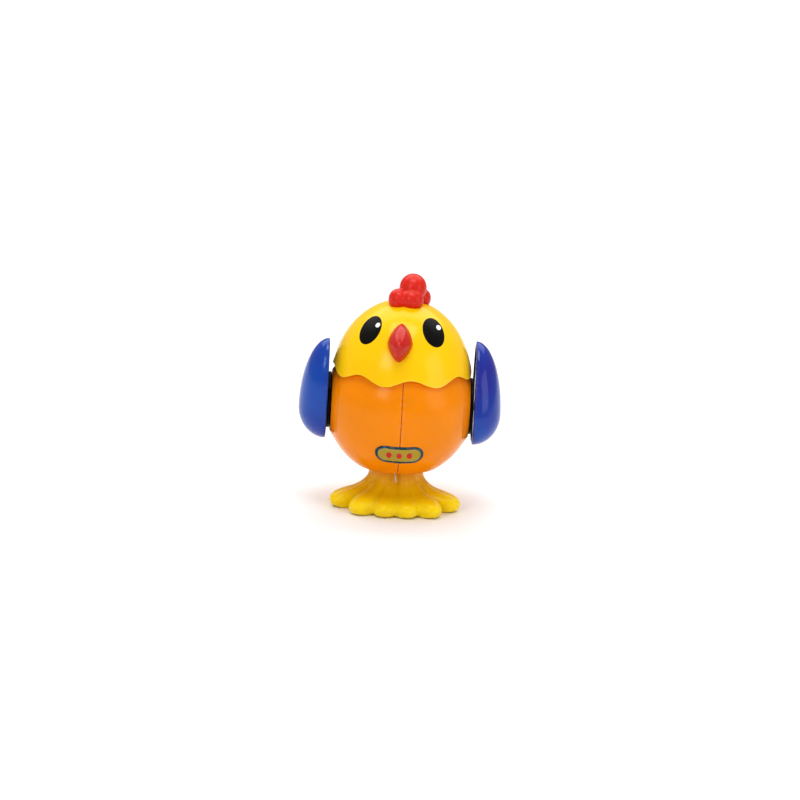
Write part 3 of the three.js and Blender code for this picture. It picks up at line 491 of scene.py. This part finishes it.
def add_side_boss(bm, side):
    """Cuts the ball at the side and carries the edge down a bevel to the round flat."""
    s = sizes()
    bmesh.ops.bisect_plane(
        bm, geom=bm.verts[:] + bm.edges[:] + bm.faces[:],
        plane_co=(side * s.side_bevel, 0, 0), plane_no=(side, 0, 0), clear_outer=True)
    edges = [edge for edge in bm.edges if edge.is_boundary]
    start = math.sqrt(s.ball_radius ** 2 - s.side_bevel ** 2)
    boss = s.side_boss_radius
    steps = []
    for part in (0.04, 0.1, 0.3, 0.6, 0.85, 0.94):
        steps.append((
            s.side_bevel + (s.side_boss - s.side_bevel) * part - 0.12 * MM * (1 - part) ** 8,
            start + (boss - start) * part))
    steps += [
        (s.side_boss - 0.06 * MM, boss + 0.12 * MM), (s.side_boss, boss - 0.2 * MM),
        (s.side_boss, 5 * MM), (s.side_boss - 3 * MM, 4.8 * MM)]
    for x, radius in steps:
        made = bmesh.ops.extrude_edge_only(bm, edges=edges)["geom"]
        edges = [item for item in made if isinstance(item, bmesh.types.BMEdge)]
        for vert in [item for item in made if isinstance(item, bmesh.types.BMVert)]:
            away = Vector((0, vert.co.y, vert.co.z - ARBOR_Z)).normalized()
            vert.co = Vector((side * x, 0, ARBOR_Z)) + away * radius
    bmesh.ops.contextual_create(bm, geom=edges)


def seam_tongue():
    """A lip of the right half that closes the seam from inside."""
    s = sizes()
    bm = bmesh.new()
    outside, inside = s.ball_radius - 1.1 * MM, s.ball_radius - 2.6 * MM
    for end in (1, -1):
        rings = []
        for i in range(49):
            angle = math.radians(-54 + 86 * i / 48)
            ring = []
            for x, radius in ((-0.9, inside), (-0.9, outside), (1.4, outside), (1.4, inside)):
                ring.append(Vector((
                    x * MM, -end * radius * math.cos(angle), ARBOR_Z + radius * math.sin(angle))))
            rings.append(ring)
        add_rings(bm, rings)
    return bm


def make_body():
    halves = {}
    for name, side in SIDES.items():
        halves[name] = new_piece(
            f"body_half_{name}", body_half(side), "casing", finish("orange"),
            [f"body_{name}"])
    cutters = []
    for index in (1, 2):
        low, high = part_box(f"body_screw_{index}")
        middle = (low + high) / 2
        start = Vector((high.x - 1.4 * MM, middle.y, middle.z))
        cutters.append(drill(SCREW_SINK, start, start + Vector((40 * MM, 0, 0))))
    cut_with(halves["right"], cutters)
    new_piece("body_seam_tongue", seam_tongue(), "casing", finish("orange"))


# ---------------------------------------------------------------- head

BRIM_LOBES = 8
BRIM_PHASE = math.radians(6.5)
HEAD_WALL = 2 * MM


def head_radius_at(height, inset=0.0):
    s = sizes()
    part = (height - s.head_middle) / (s.head_height - inset)
    return (s.head_radius - inset) * math.sqrt(max(0.0, 1 - part * part))


def head_inside_at(height):
    """Radius of the head's inner face, clear of the body ball."""
    s = sizes()
    ball = math.sqrt(max(0.0, s.ball_radius ** 2 - (height - ARBOR_Z) ** 2))
    clear = ball + 0.3 * MM if height < s.brim + 5 * MM else 0
    return max(clear, head_radius_at(height, HEAD_WALL))


def head_cap():
    s = sizes()
    columns, rows = 288, 56
    crown = s.head_middle + s.head_height
    bm = bmesh.new()
    rings = [[] for _ in range(rows + 18)]
    for c in range(columns):
        turn = 2 * math.pi * c / columns
        brim = s.brim + s.brim_wave * math.cos(BRIM_LOBES * (turn - BRIM_PHASE))
        edge_out, edge_in = head_radius_at(brim), head_inside_at(brim)
        section = []
        for i in range(13):
            level = brim + 0.25 * MM + (crown - HEAD_WALL - brim) * (1 - i / 13) ** 1.4
            section.append((head_inside_at(min(level, crown - 2.02 * MM)), level))
        section.append((edge_in + 0.02 * MM, brim + 0.2 * MM))
        section.append((edge_in + 0.25 * MM, brim + 0.02 * MM))
        section.append((edge_out - 0.35 * MM, brim))
        section.append((edge_out - 0.08 * MM, brim + 0.1 * MM))
        low = math.asin((brim + 0.35 * MM - s.head_middle) / s.head_height)
        for i in range(rows + 1):
            angle = low + (math.pi / 2 - low) * (i / rows) ** 1.15 * 0.9985
            height = s.head_middle + s.head_height * math.sin(angle)
            roll = 0.3 * MM * math.exp(-((height - brim) / (2.2 * MM)) ** 2)
            section.append((s.head_radius * math.cos(angle) + roll, height))
        for ring, (radius, height) in zip(rings, section):
            ring.append(Vector((radius * math.sin(turn), -radius * math.cos(turn), height)))
    add_rings(bm, rings)
    return bm


def make_head():
    new_piece("head_cap", head_cap(), "casing", finish("yellow"), ["head_shell"], sharp=60)


# ---------------------------------------------------------------- face

LOOK_DOWN = math.radians(15)
FACE_UP = Vector((0, math.sin(LOOK_DOWN), math.cos(LOOK_DOWN)))
FACE_OUT = Vector((0, -math.cos(LOOK_DOWN), math.sin(LOOK_DOWN)))
FACE_TURN = Matrix.Rotation(math.radians(-5.5), 3, "Z")


def on_head(across, up, proud):
    """The point of the head's surface that a place in a flat drawing of the face lands on."""
    s = sizes()
    radius, height = s.head_radius + proud, s.head_height + proud
    start = Vector((across, 0, 0)) + FACE_UP * up - Vector((0, 0, s.head_middle))
    scale = Vector((1 / radius, 1 / radius, 1 / height))
    a = start * scale
    b = FACE_OUT * scale
    half, square = a.dot(b), b.dot(b)
    reach = (-half + math.sqrt(max(0.0, half * half - square * (a.dot(a) - 1)))) / square
    return FACE_TURN @ (start + FACE_OUT * reach) + Vector((0, 0, s.head_middle))


def printed_oval(middle, short, long, tilt, proud, count=96):
    """A thin oval that lies on the head, its edge sunk just under the surface."""
    levels = [(0.02, -0.3), (0.9, -0.3), (1.0, -0.1), (1.0, 0.0)]
    levels += [(0.985, 0.75), (0.95, 0.95), (0.8, 1.0), (0.6, 1.0), (0.4, 1.0), (0.2, 1.0), (0.02, 1.0)]
    rings = []
    for part, rise in levels:
        ring = []
        for t in ellipse_turns(count):
            x, y = part * short * math.cos(t), part * long * math.sin(t)
            across = middle[0] + x * math.cos(tilt) - y * math.sin(tilt)
            up = middle[1] + x * math.sin(tilt) + y * math.cos(tilt)
            ring.append(on_head(across, up, rise * proud))
        rings.append(ring)
    bm = bmesh.new()
    add_rings(bm, rings)
    return bm


EYE_SHORT = 5.2 * MM
EYE_LONG = 8.5 * MM
GLINT_SHORT = 1.15 * MM
GLINT_LONG = 1.5 * MM
EYES = {  # places across and up the face in mm, tilts in degrees
    "left": {"at": (-17.0, 94.2), "tilt": -26, "glint": (-13.2, 97.2)},
    "right": {"at": (17.2, 95.3), "tilt": 27, "glint": (19.6, 98.3)},
}


def make_eyes():
    for name, eye in EYES.items():
        at = [v * MM for v in eye["at"]]
        tilt = math.radians(eye["tilt"])
        new_piece(
            f"eye_{name}_print", printed_oval(at, EYE_SHORT, EYE_LONG, tilt, 0.14 * MM),
            "casing", finish("black"), [f"eye_{name}"], sharp=80)
        glint = [v * MM for v in eye["glint"]]
        new_piece(
            f"eye_{name}_glint",
            printed_oval(glint, GLINT_SHORT, GLINT_LONG, tilt * 1.5, 0.2 * MM, 40),
            "casing", finish("white"), sharp=80)


def beak():
    """A blunt four-cornered beak, its tip drooping below the middle of its root."""
    root = Vector((0, -29.0, 98.9)) * MM
    out = Vector((0, -0.832, 0.555))
    up = Vector((0, 0.555, 0.832))
    reach, droop = 11.4 * MM, 5.2 * MM
    half_width, above, below = 6.9 * MM, 11.6 * MM, 11.0 * MM
    rings = []
    count, steps = 72, 26
    for i in range(-4, steps + 1):
        part = i / steps
        along = max(part, 0)
        size = (1 - along ** 1.55) ** 0.72 if part < 1 else 0.0
        size = max(size, 0.012)
        power = 1.5 + 0.4 * along ** 1.5
        centre = root + out * (reach * part) - up * (droop * along ** 1.15)
        ring = []
        for t in ellipse_turns(count):
            c, n = math.cos(t), math.sin(t)
            x = math.copysign(abs(c) ** (2 / power), c) * half_width
            y = math.copysign(abs(n) ** (2 / power), n) * (above if n > 0 else below)
            ring.append(FACE_TURN @ (centre + Vector((x * size, 0, 0)) + up * (y * size)))
        rings.append(ring)
    bm = bmesh.new()
    add_rings(bm, rings)
    return bm


def make_beak():
    piece = new_piece("beak_moulding", beak(), "casing", finish("red"), ["beak"], sharp=70)
    soften(piece, 0.5, 4)


def soften(piece, factor, repeats):
    modifier = piece.modifiers.new("soften", "SMOOTH")
    modifier.factor = factor
    modifier.iterations = repeats


COMB_LOBES = (  # middle and half sizes of each lobe in mm
    ((3.6, 0.8, 122.9), (7.6, 8.2, 8.1)),
    ((-4.2, -4.6, 117.5), (5.6, 6.0, 6.0)),
    ((3.0, -5.4, 117.7), (6.6, 6.0, 6.1)),
    ((9.4, 6.2, 116.2), (4.6, 5.6, 5.4)),
)


def make_comb():
    bm = bmesh.new()
    for at, size in COMB_LOBES:
        place = Matrix.Translation(Vector(at) * MM) @ Matrix.Diagonal((*[v * MM for v in size], 1))
        bmesh.ops.create_icosphere(bm, subdivisions=5, radius=1, matrix=place)
    piece = new_piece("comb_moulding", bm, "casing", finish("comb_red"), ["comb"], sharp=180)
    fuse = piece.modifiers.new("fuse", "REMESH")
    fuse.mode = "VOXEL"
    fuse.voxel_size = 0.3 * MM
    fuse.use_smooth_shade = True
    soften(piece, 0.6, 24)
    graph = bpy.context.evaluated_depsgraph_get()
    mesh = bpy.data.meshes.new_from_object(piece.evaluated_get(graph))
    piece.modifiers.clear()
    piece.data = mesh
    mark_wear(mesh)


# ---------------------------------------------------------------- badge

BADGE = {"level": 37.8 * MM, "length": 26.5 * MM, "height": 12 * MM, "rim": 1.3 * MM}
PILL_ARC = 24  # points round each end of the badge's outline
PILL_STRAIGHT = 16  # points along each straight side


def on_ball(across, up, proud):
    """A point on the badge's patch of the ball, seen square on."""
    s = sizes()
    dip = math.asin((ARBOR_Z - BADGE["level"]) / s.ball_radius)
    out = Vector((0, -math.cos(dip), -math.sin(dip)))
    upward = Vector((0, -math.sin(dip), math.cos(dip)))
    reach = math.sqrt((s.ball_radius + proud) ** 2 - across ** 2 - up ** 2)
    return Vector((across, 0, ARBOR_Z)) + upward * up + out * reach


def pill_ring(inset, proud):
    """A ring of points round the badge's outline, set in from its edge."""
    radius = BADGE["height"] / 2 - inset
    middle = BADGE["length"] / 2 - BADGE["height"] / 2
    ring = []
    for side in (1, -1):
        for i in range(PILL_ARC):
            turn = math.pi * (i / PILL_ARC - 0.5)
            ring.append((side * (middle + radius * math.cos(turn)), side * radius * math.sin(turn)))
        for i in range(PILL_STRAIGHT):
            ring.append((side * middle * (1 - 2 * i / PILL_STRAIGHT), side * radius))
    return [on_ball(across, up, proud) for across, up in ring]


def close_slit(bm, row):
    """Closes a long thin ring by joining opposite points."""
    count = len(row)
    arc, straight = PILL_ARC, PILL_STRAIGHT
    top = [row[(arc + i) % count] for i in range(straight + 1)]
    bottom = [row[(2 * arc + straight + i) % count] for i in range(straight + 1)][::-1]
    for i in range(straight):
        bm.faces.new((top[i], top[i + 1], bottom[i + 1], bottom[i]))
    bm.faces.new([row[i % count] for i in range(0, arc + 1)])
    bm.faces.new([row[i % count] for i in range(arc + straight, 2 * arc + straight + 1)])


def make_badge():
    rim = BADGE["rim"]
    profile = [(0.0, -0.3), (0.0, 0.25), (0.12, 0.5), (0.35, 0.62), (0.75, 0.62), (1.0, 0.5), (1.0, -0.3)]
    bm = bmesh.new()
    add_rings(bm, [pill_ring(part * rim, proud * MM) for part, proud in profile], close_rows=True)
    new_piece("badge_rim_moulding", bm, "casing", finish("teal"), ["badge_rim"], sharp=50)
    inner = BADGE["height"] / 2
    bm = bmesh.new()
    rings = [pill_ring(inner * 0.94, -0.3 * MM), pill_ring(rim + 0.02 * MM, -0.3 * MM)]
    rings += [pill_ring(rim + 0.02 * MM, 0.22 * MM), pill_ring(rim + 0.2 * MM, 0.38 * MM)]
    rings += [pill_ring(rim + 0.7 * MM, 0.42 * MM), pill_ring(rim + 0.8 * MM, 0.34 * MM)]
    rings += [pill_ring(rim + (inner - rim) * part, 0.34 * MM) for part in (0.3, 0.5, 0.75, 0.93)]
    rows = add_rings(bm, rings, cap_ends=False)
    close_slit(bm, rows[0])
    close_slit(bm, rows[-1])
    new_piece("badge_field_moulding", bm, "casing", finish("gold"), ["badge_field"], sharp=60)
    bm = bmesh.new()
    for across in (-5.6, 0, 5.6):
        rings = []
        for part, proud in ((0.05, 0.2), (1, 0.2), (1, 0.42), (0.85, 0.58), (0.5, 0.66), (0.05, 0.68)):
            rings.append([
                on_ball(across * MM + part * 1.5 * MM * math.cos(t),
                        part * 2.1 * MM * math.sin(t), proud * MM)
                for t in ellipse_turns(32)])
        add_rings(bm, rings)
    new_piece("badge_eggs", bm, "casing", finish("red"), sharp=60)


# ---------------------------------------------------------------- wings

WING_WALL = 1.8 * MM


def wing_ring(part, inset, depth, count=128):
    s = sizes()
    ring = []
    for t in ellipse_turns(count):
        half_height = (s.wing_up if math.sin(t) > 0 else s.wing_down) - inset
        ring.append(Vector((
            depth, (s.wing_half_width - inset) * part * math.cos(t),
            s.wing_belly + half_height * part * math.sin(t))))
    return ring


def wing_shell():
    s = sizes()
    bm = bmesh.new()
    rings = []
    for i in range(14):
        angle = math.pi / 2 * (1 - i / 13) * 0.985
        rings.append(wing_ring(
            math.cos(angle), WING_WALL, 1.9 * MM + (s.wing_depth - WING_WALL - 1.9 * MM) * math.sin(angle)))
    rings += [wing_ring(1, WING_WALL, 0.25 * MM), wing_ring(1, WING_WALL - 0.12 * MM, 0.05 * MM)]
    rings += [wing_ring(1, WING_WALL - 0.3 * MM, 0), wing_ring(1, 1.0 * MM, 0)]
    rings += [wing_ring(1, 0.72 * MM, 0.04 * MM), wing_ring(1, 0.42 * MM, 0.2 * MM)]
    rings += [wing_ring(1, 0.18 * MM, 0.46 * MM), wing_ring(1, 0.04 * MM, 0.8 * MM)]
    for i in range(4, 45):
        angle = math.pi / 2 * i / 44 * 0.992
        rings.append(wing_ring(math.cos(angle), 0, s.wing_depth * math.sin(angle)))
    add_rings(bm, rings)
    return bm


def wing_cover():
    gap = WING_WALL + 0.12 * MM
    rings = [wing_ring(0.02, gap, 1.85 * MM), wing_ring(1, gap, 1.85 * MM), wing_ring(1, gap, 0.9 * MM)]
    rings += [wing_ring(1, gap + 0.25 * MM, 0.65 * MM), wing_ring(0.6, gap, 0.65 * MM)]
    rings += [wing_ring(0.02, gap, 0.65 * MM)]
    bm = bmesh.new()
    add_rings(bm, rings)
    return bm


def hub_disc():
    s = sizes()
    inner = WINDER_HUB_LOW.x - WING_LOW.x
    outer = WINDER_HUB_HIGH.x - WING_LOW.x
    profile = [
        (inner, 3 * MM), (inner, s.hub_radius - 0.4 * MM), (inner + 0.1 * MM, s.hub_radius - 0.1 * MM),
        (inner + 0.35 * MM, s.hub_radius), (inner + 0.75 * MM, s.hub_radius),
        (inner + 0.85 * MM, s.hub_radius - 0.25 * MM), (inner + 1.05 * MM, s.hub_radius - 0.25 * MM),
        (inner + 1.15 * MM, s.hub_radius), (outer - 0.3 * MM, s.hub_radius),
        (outer, s.hub_radius - 0.3 * MM), (outer, 3 * MM)]
    bm = bmesh.new()
    rings = turned_profile(profile, 128)
    for ring in rings:
        for point in ring:
            point.z -= ARBOR_Z
    add_rings(bm, rings, close_rows=True)
    return bm


def make_wings():
    s = sizes()
    for name, side in SIDES.items():
        place = Matrix.Translation((side * WING_LOW.x, 0, ARBOR_Z))
        place = place @ Matrix.Rotation(-side * s.wing_lean, 4, "X") @ Matrix.Diagonal((side, 1, 1, 1))
        parts = (
            ("dome", wing_shell(), "blue", f"wing_{name}_shell"),
            ("back", wing_cover(), "blue", f"wing_{name}_cover"),
            ("hub_disc", hub_disc(), "black", f"wing_{name}_hub"))
        for part, bm, look, node in parts:
            bmesh.ops.transform(bm, matrix=place, verts=bm.verts)
            new_piece(f"wing_{name}_{part}", bm, "winder", finish(look), [node], sharp=50)


# ---------------------------------------------------------------- foot

FAN_Y = 3 * MM
TOES = ((12.3, 29.2), (36.9, 32.5), (68, 32.3))   # degrees from the front, reach in mm
TOE_RADIUS = 6.3
HEEL_RADIUS = 17.5
NECK_RADIUS = 15.0
NECK_TOP = 23.5
FOOT_COLUMNS = 360


def raw_reach(turn):
    reaches = [HEEL_RADIUS]
    for angle, reach in TOES:
        for side in (-1, 1):
            away = abs(turn - side * math.radians(angle))
            if away >= math.pi / 2:
                continue
            offset = reach * math.sin(away)
            if offset < TOE_RADIUS:
                reaches.append(reach * math.cos(away) + math.sqrt(TOE_RADIUS ** 2 - offset ** 2))
            else:
                reaches.append(TOE_RADIUS / math.sin(away))
    power = 26
    return sum(reach ** power for reach in reaches) ** (1 / power)


def fan_outline():
    """Reach of the foot in each direction, in mm, with the notches between the toes rounded."""
    raw = [raw_reach((i / FOOT_COLUMNS * 2 - 1) * math.pi) for i in range(FOOT_COLUMNS)]
    width = 3
    weights = [math.exp(-(k / width) ** 2) for k in range(-2 * width, 2 * width + 1)]
    total = sum(weights)
    smooth = []
    for i in range(FOOT_COLUMNS):
        window = [raw[(i + k) % FOOT_COLUMNS] for k in range(-2 * width, 2 * width + 1)]
        smooth.append(sum(w * r for w, r in zip(weights, window)) / total)
    return smooth


def foot_section(reach):
    spread_out = max(reach - 4.2, NECK_RADIUS) - NECK_RADIUS
    return [
        (reach - 4.6, 0.0), (reach - 4.0, 0.0), (reach - 1.2, 1.4), (reach, 4.4), (reach - 1.7, 7.3),
        (NECK_RADIUS + 0.9 * spread_out, 9.3), (NECK_RADIUS + 0.43 * spread_out, 11.6),
        (NECK_RADIUS + 0.15 * spread_out, 15.0), (NECK_RADIUS + 0.03 * spread_out, 18.5),
        (NECK_RADIUS, NECK_TOP)]


def fan_point(turn, radius, height):
    centre = FAN_Y * min(1, max(0, (NECK_TOP - height) / 12))
    return Vector((radius * math.sin(turn) * MM, centre - radius * math.cos(turn) * MM, height * MM))


def foot_shell():
    outline = fan_outline()
    recess = 6.0
    rings = []
    for i, reach in enumerate(outline):
        turn = (i / FOOT_COLUMNS * 2 - 1) * math.pi
        path = [(point.x, point.y) for point in smooth_path([(*p, 0) for p in foot_section(reach)], 5)]
        section = [(0.5, 2.3), (reach - recess, 2.3), (reach - recess, 0.25), (reach - recess + 0.25, 0)]
        for radius, height in path:
            lean = min(1, max(0, (height - 8) / 8))
            valley = 2.3 * math.exp(-(turn * NECK_RADIUS / 2.4) ** 2) * lean
            section.append((radius - valley, height))
        section.append((NECK_RADIUS - 0.6, NECK_TOP + 0.3))
        section.append((0.5, NECK_TOP + 0.3))
        rings = rings or [[] for _ in section]
        for ring, (radius, height) in zip(rings, section):
            ring.append(fan_point(turn, radius, height))
    bm = bmesh.new()
    add_rings(bm, rings)
    for side in (-1, 1):
        lug = []
        for x, radius in ((7.6, 1.8), (7.6, 3.7), (7.9, 4), (14.3, 4), (14.6, 3.7), (14.6, 1.8)):
            lug.append([
                Vector((side * x * MM, radius * MM * math.cos(t), FOOT_PIVOT_Z + radius * MM * math.sin(t)))
                for t in ellipse_turns(40)])
        add_rings(bm, lug, close_rows=True)
    return bm


def sole():
    outline = fan_outline()
    levels = [(0.5, 2.0), (-6.3, 2.0), (-6.3, 0.2), (-6.5, 0.0), (-9, 0.0), (0.5, 0.0)]
    rings = []
    for inset, height in levels:
        ring = []
        for i, reach in enumerate(outline):
            turn = (i / FOOT_COLUMNS * 2 - 1) * math.pi
            ring.append(fan_point(turn, inset if inset > 0 else reach + inset, height))
        rings.append(ring)
    bm = bmesh.new()
    add_rings(bm, rings)
    return bm


def spring_points():
    """The spring's wire: a tail behind the pin, a coil round it and a hook down the front."""
    low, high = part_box("foot_spring")
    x0, x1 = low.x + 0.35 * MM, -2.2 * MM
    turns, per_turn, coil = 3.7, 24, 2.7 * MM
    steps = round(turns * per_turn)
    points = [Vector((x0, 3.4 * MM, 31.5 * MM))]
    for i in range(steps + 1):
        angle = -i * 2 * math.pi / per_turn
        points.append(Vector((
            x0 + (x1 - x0) * i / steps, coil * math.cos(angle), FOOT_PIVOT_Z + coil * math.sin(angle))))
    hook = -(NECK_RADIUS + 0.9)
    for x, y, z in ((-2.2, -5, 24), (-2.2, hook + 2.9, 24), (-0.8, hook, 21.5), (-0.2, hook + 0.6, 16.5)):
        points.append(Vector((x, y, z)) * MM)
    return points


def make_spring():
    curve = bpy.data.curves.new("foot_return_spring", "CURVE")
    curve.dimensions = "3D"
    curve.bevel_depth = 0.35 * MM
    curve.bevel_resolution = 4
    curve.use_fill_caps = True
    points = spring_points()
    spline = curve.splines.new("NURBS")
    spline.points.add(len(points) - 1)
    for item, point in zip(spline.points, points):
        item.co = (*point, 1)
    spline.use_endpoint_u = True
    spline.order_u = 3
    spline.resolution_u = 3
    curve.materials.append(finish("steel"))
    piece = bpy.data.objects.new("foot_return_spring", curve)
    bpy.context.collection.objects.link(piece)
    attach(piece, "foot")
    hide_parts("foot_spring")


def make_foot():
    new_piece("foot_fan", foot_shell(), "foot", finish("foot_yellow"), ["foot"], sharp=50)
    plate = new_piece("foot_sole", sole(), "foot", finish("foot_yellow"), ["sole_plate"], sharp=50)
    cutters = []
    for name in SIDES:
        low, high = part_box(f"sole_screw_{name}")
        middle = (low + high) / 2
        start = Vector((middle.x, middle.y, -1 * MM))
        cutters.append(drill(SCREW_SINK, start, Vector((middle.x, middle.y, 1.5 * MM))))
    cut_with(plate, cutters)
    make_spring()


# ---------------------------------------------------------------- clockwork

CLOCKWORK = {
    "steel": (
        "motor_plate_left", "motor_plate_right", "foot_pivot_pin", "click_pin", "pillar_1", "pillar_2",
        "pillar_3", "pillar_4", "body_screw_1", "body_screw_2", "winding_arbor", "ratchet_wheel",
        "mainspring", "intermediate_arbor", "crankshaft", "governor_arbor", "sole_screw_left",
        "sole_screw_right"),
    "brass": (
        "governor_cup", "click", "barrel_drum", "barrel_lid", "brake_weight_1", "brake_weight_2"),
    "nylon": (
        "arbor_bush_left", "arbor_bush_right", "intermediate_pinion", "intermediate_wheel",
        "crank_pinion", "crank_wheel", "governor_pinion", "governor_rotor", "leg_lever"),
}


def finish_clockwork():
    for look, names in CLOCKWORK.items():
        for name in names:
            node = frame["nodes"][name]
            for slot in node.material_slots:
                slot.material = finish(look)


# ---------------------------------------------------------------- stage

def soft_light(name, place, aim, size, power):
    data = bpy.data.lights.new(name, "AREA")
    data.shape = "RECTANGLE"
    data.size, data.size_y = size
    data.energy = power
    light = bpy.data.objects.new(name, data)
    light.location = place
    light.rotation_euler = (Vector(aim) - Vector(place)).to_track_quat("-Z", "Y").to_euler()
    bpy.context.collection.objects.link(light)


def pale_floor():
    material, nodes, links, shader = start_material("pale_paper")
    place = nodes.new("ShaderNodeTexCoord").outputs["Object"]
    fibres = noise(nodes, links, place, 30, 4)
    base = blend_colours(nodes, links, fibres, (0.9, 0.9, 0.9), (0.92, 0.92, 0.92))
    links.new(base, shader.inputs["Base Color"])
    shader.inputs["Roughness"].default_value = 0.85
    shader.inputs["Specular IOR Level"].default_value = 0.1
    bm = bmesh.new()
    half = 4.0
    level = -0.02 * MM
    corners = ((-half, -half), (half, -half), (half, half), (-half, half))
    bm.faces.new([bm.verts.new((x, y, level)) for x, y in corners])
    mesh = bpy.data.meshes.new("floor")
    bm.to_mesh(mesh)
    bm.free()
    mesh.materials.append(material)
    floor = bpy.data.objects.new("floor", mesh)
    bpy.context.collection.objects.link(floor)


VIEW = {"azimuth": -2.0, "elevation": 15.0, "roll": 3.3, "distance": 2.5, "width": 0.44}


def place_camera():
    data = bpy.data.cameras.new("camera")
    half_angle = math.atan(VIEW["width"] / 2 / VIEW["distance"])
    data.sensor_width = 36
    data.lens = data.sensor_width / 2 / math.tan(half_angle)
    camera = bpy.data.objects.new("camera", data)
    azimuth, elevation = math.radians(VIEW["azimuth"]), math.radians(VIEW["elevation"])
    back = Vector((
        math.sin(azimuth) * math.cos(elevation), -math.cos(azimuth) * math.cos(elevation),
        math.sin(elevation)))
    aim = Vector((-0.05 * MM, 0, ARBOR_Z + 1.5 * MM))
    camera.rotation_mode = "QUATERNION"
    camera.location = aim + back * VIEW["distance"]
    turn = Matrix.Rotation(math.radians(VIEW["roll"]), 4, "Z").to_quaternion()
    camera.rotation_quaternion = (-back).to_track_quat("-Z", "Y") @ turn
    bpy.context.collection.objects.link(camera)
    bpy.context.scene.camera = camera


def set_stage():
    scene = bpy.context.scene
    scene.view_settings.view_transform = "Standard"
    scene.view_settings.look = "Medium High Contrast"
    world = bpy.data.worlds.new("studio")
    world.use_nodes = True
    background = world.node_tree.nodes["Background"]
    background.inputs["Color"].default_value = (1, 1, 1, 1)
    background.inputs["Strength"].default_value = 0.38
    scene.world = world
    soft_light("overhead", (-0.05, -0.3, 1.35), (0, 0, 0.06), (0.9, 0.6), 6.6)
    soft_light("window", (-0.75, -1.25, 0.85), (0, 0, 0.06), (0.5, 0.6), 3.4)
    soft_light("side", (1.2, -0.75, 0.5), (0, 0, 0.06), (0.8, 0.8), 2.6)
    soft_light("back", (0.0, 1.1, 1.5), (0, 0.9, 0), (3.2, 1.6), 26)
    pale_floor()
    place_camera()


# ---------------------------------------------------------------- operators and panel

class CHICKEN_OT_body(bpy.types.Operator):
    """Makes the two body halves and the seam's tongue"""
    bl_idname = "chicken.body"
    bl_label = "Body halves"

    def execute(self, context):
        make_body()
        return {"FINISHED"}


class CHICKEN_OT_head(bpy.types.Operator):
    """Makes the head cap with its wavy brim"""
    bl_idname = "chicken.head"
    bl_label = "Head cap"

    def execute(self, context):
        make_head()
        return {"FINISHED"}


class CHICKEN_OT_eyes(bpy.types.Operator):
    """Makes the printed eyes and their glints"""
    bl_idname = "chicken.eyes"
    bl_label = "Eyes"

    def execute(self, context):
        make_eyes()
        return {"FINISHED"}


class CHICKEN_OT_beak(bpy.types.Operator):
    """Makes the beak"""
    bl_idname = "chicken.beak"
    bl_label = "Beak"

    def execute(self, context):
        make_beak()
        return {"FINISHED"}


class CHICKEN_OT_comb(bpy.types.Operator):
    """Makes the four-lobed comb"""
    bl_idname = "chicken.comb"
    bl_label = "Comb"

    def execute(self, context):
        make_comb()
        return {"FINISHED"}


class CHICKEN_OT_badge(bpy.types.Operator):
    """Makes the badge with its egg ornament"""
    bl_idname = "chicken.badge"
    bl_label = "Badge"

    def execute(self, context):
        make_badge()
        return {"FINISHED"}


class CHICKEN_OT_wings(bpy.types.Operator):
    """Makes both wing domes, their backs and their hubs"""
    bl_idname = "chicken.wings"
    bl_label = "Wings"

    def execute(self, context):
        make_wings()
        return {"FINISHED"}


class CHICKEN_OT_foot(bpy.types.Operator):
    """Makes the foot, its sole and its return spring"""
    bl_idname = "chicken.foot"
    bl_label = "Foot"

    def execute(self, context):
        make_foot()
        return {"FINISHED"}


class CHICKEN_OT_clockwork(bpy.types.Operator):
    """Gives the motor's pieces their metal and nylon finishes"""
    bl_idname = "chicken.clockwork"
    bl_label = "Clockwork finishes"

    def execute(self, context):
        finish_clockwork()
        return {"FINISHED"}


class CHICKEN_OT_stage(bpy.types.Operator):
    """Sets the floor, the lights and the camera"""
    bl_idname = "chicken.stage"
    bl_label = "Stage"

    def execute(self, context):
        set_stage()
        return {"FINISHED"}


class CHICKEN_PT_panel(bpy.types.Panel):
    """Lists the chicken's pieces in the order they are made"""
    bl_idname = "CHICKEN_PT_panel"
    bl_label = "Wind-up chicken"
    bl_space_type = "VIEW_3D"
    bl_region_type = "UI"
    bl_category = "Chicken"

    def draw(self, context):
        for operator in OPERATORS:
            self.layout.operator(operator.bl_idname)
        for group in (context.scene.chicken_sizes, context.scene.chicken_colours):
            for name in group.__annotations__:
                self.layout.prop(group, name)


OPERATORS = (
    CHICKEN_OT_stage, CHICKEN_OT_body, CHICKEN_OT_head, CHICKEN_OT_eyes, CHICKEN_OT_beak,
    CHICKEN_OT_comb, CHICKEN_OT_badge, CHICKEN_OT_wings, CHICKEN_OT_foot, CHICKEN_OT_clockwork)
CLASSES = (ChickenSizes, ChickenColours, *OPERATORS, CHICKEN_PT_panel)


def register():
    for item in CLASSES:
        bpy.utils.register_class(item)
    bpy.types.Scene.chicken_sizes = bpy.props.PointerProperty(type=ChickenSizes)
    bpy.types.Scene.chicken_colours = bpy.props.PointerProperty(type=ChickenColours)


def unregister():
    del bpy.types.Scene.chicken_colours
    del bpy.types.Scene.chicken_sizes
    for item in reversed(CLASSES):
        bpy.utils.unregister_class(item)


def main():
    register()
    for operator in OPERATORS:
        group, name = operator.bl_idname.split(".")
        getattr(getattr(bpy.ops, group), name)()


if __name__ == "__main__":
    main()
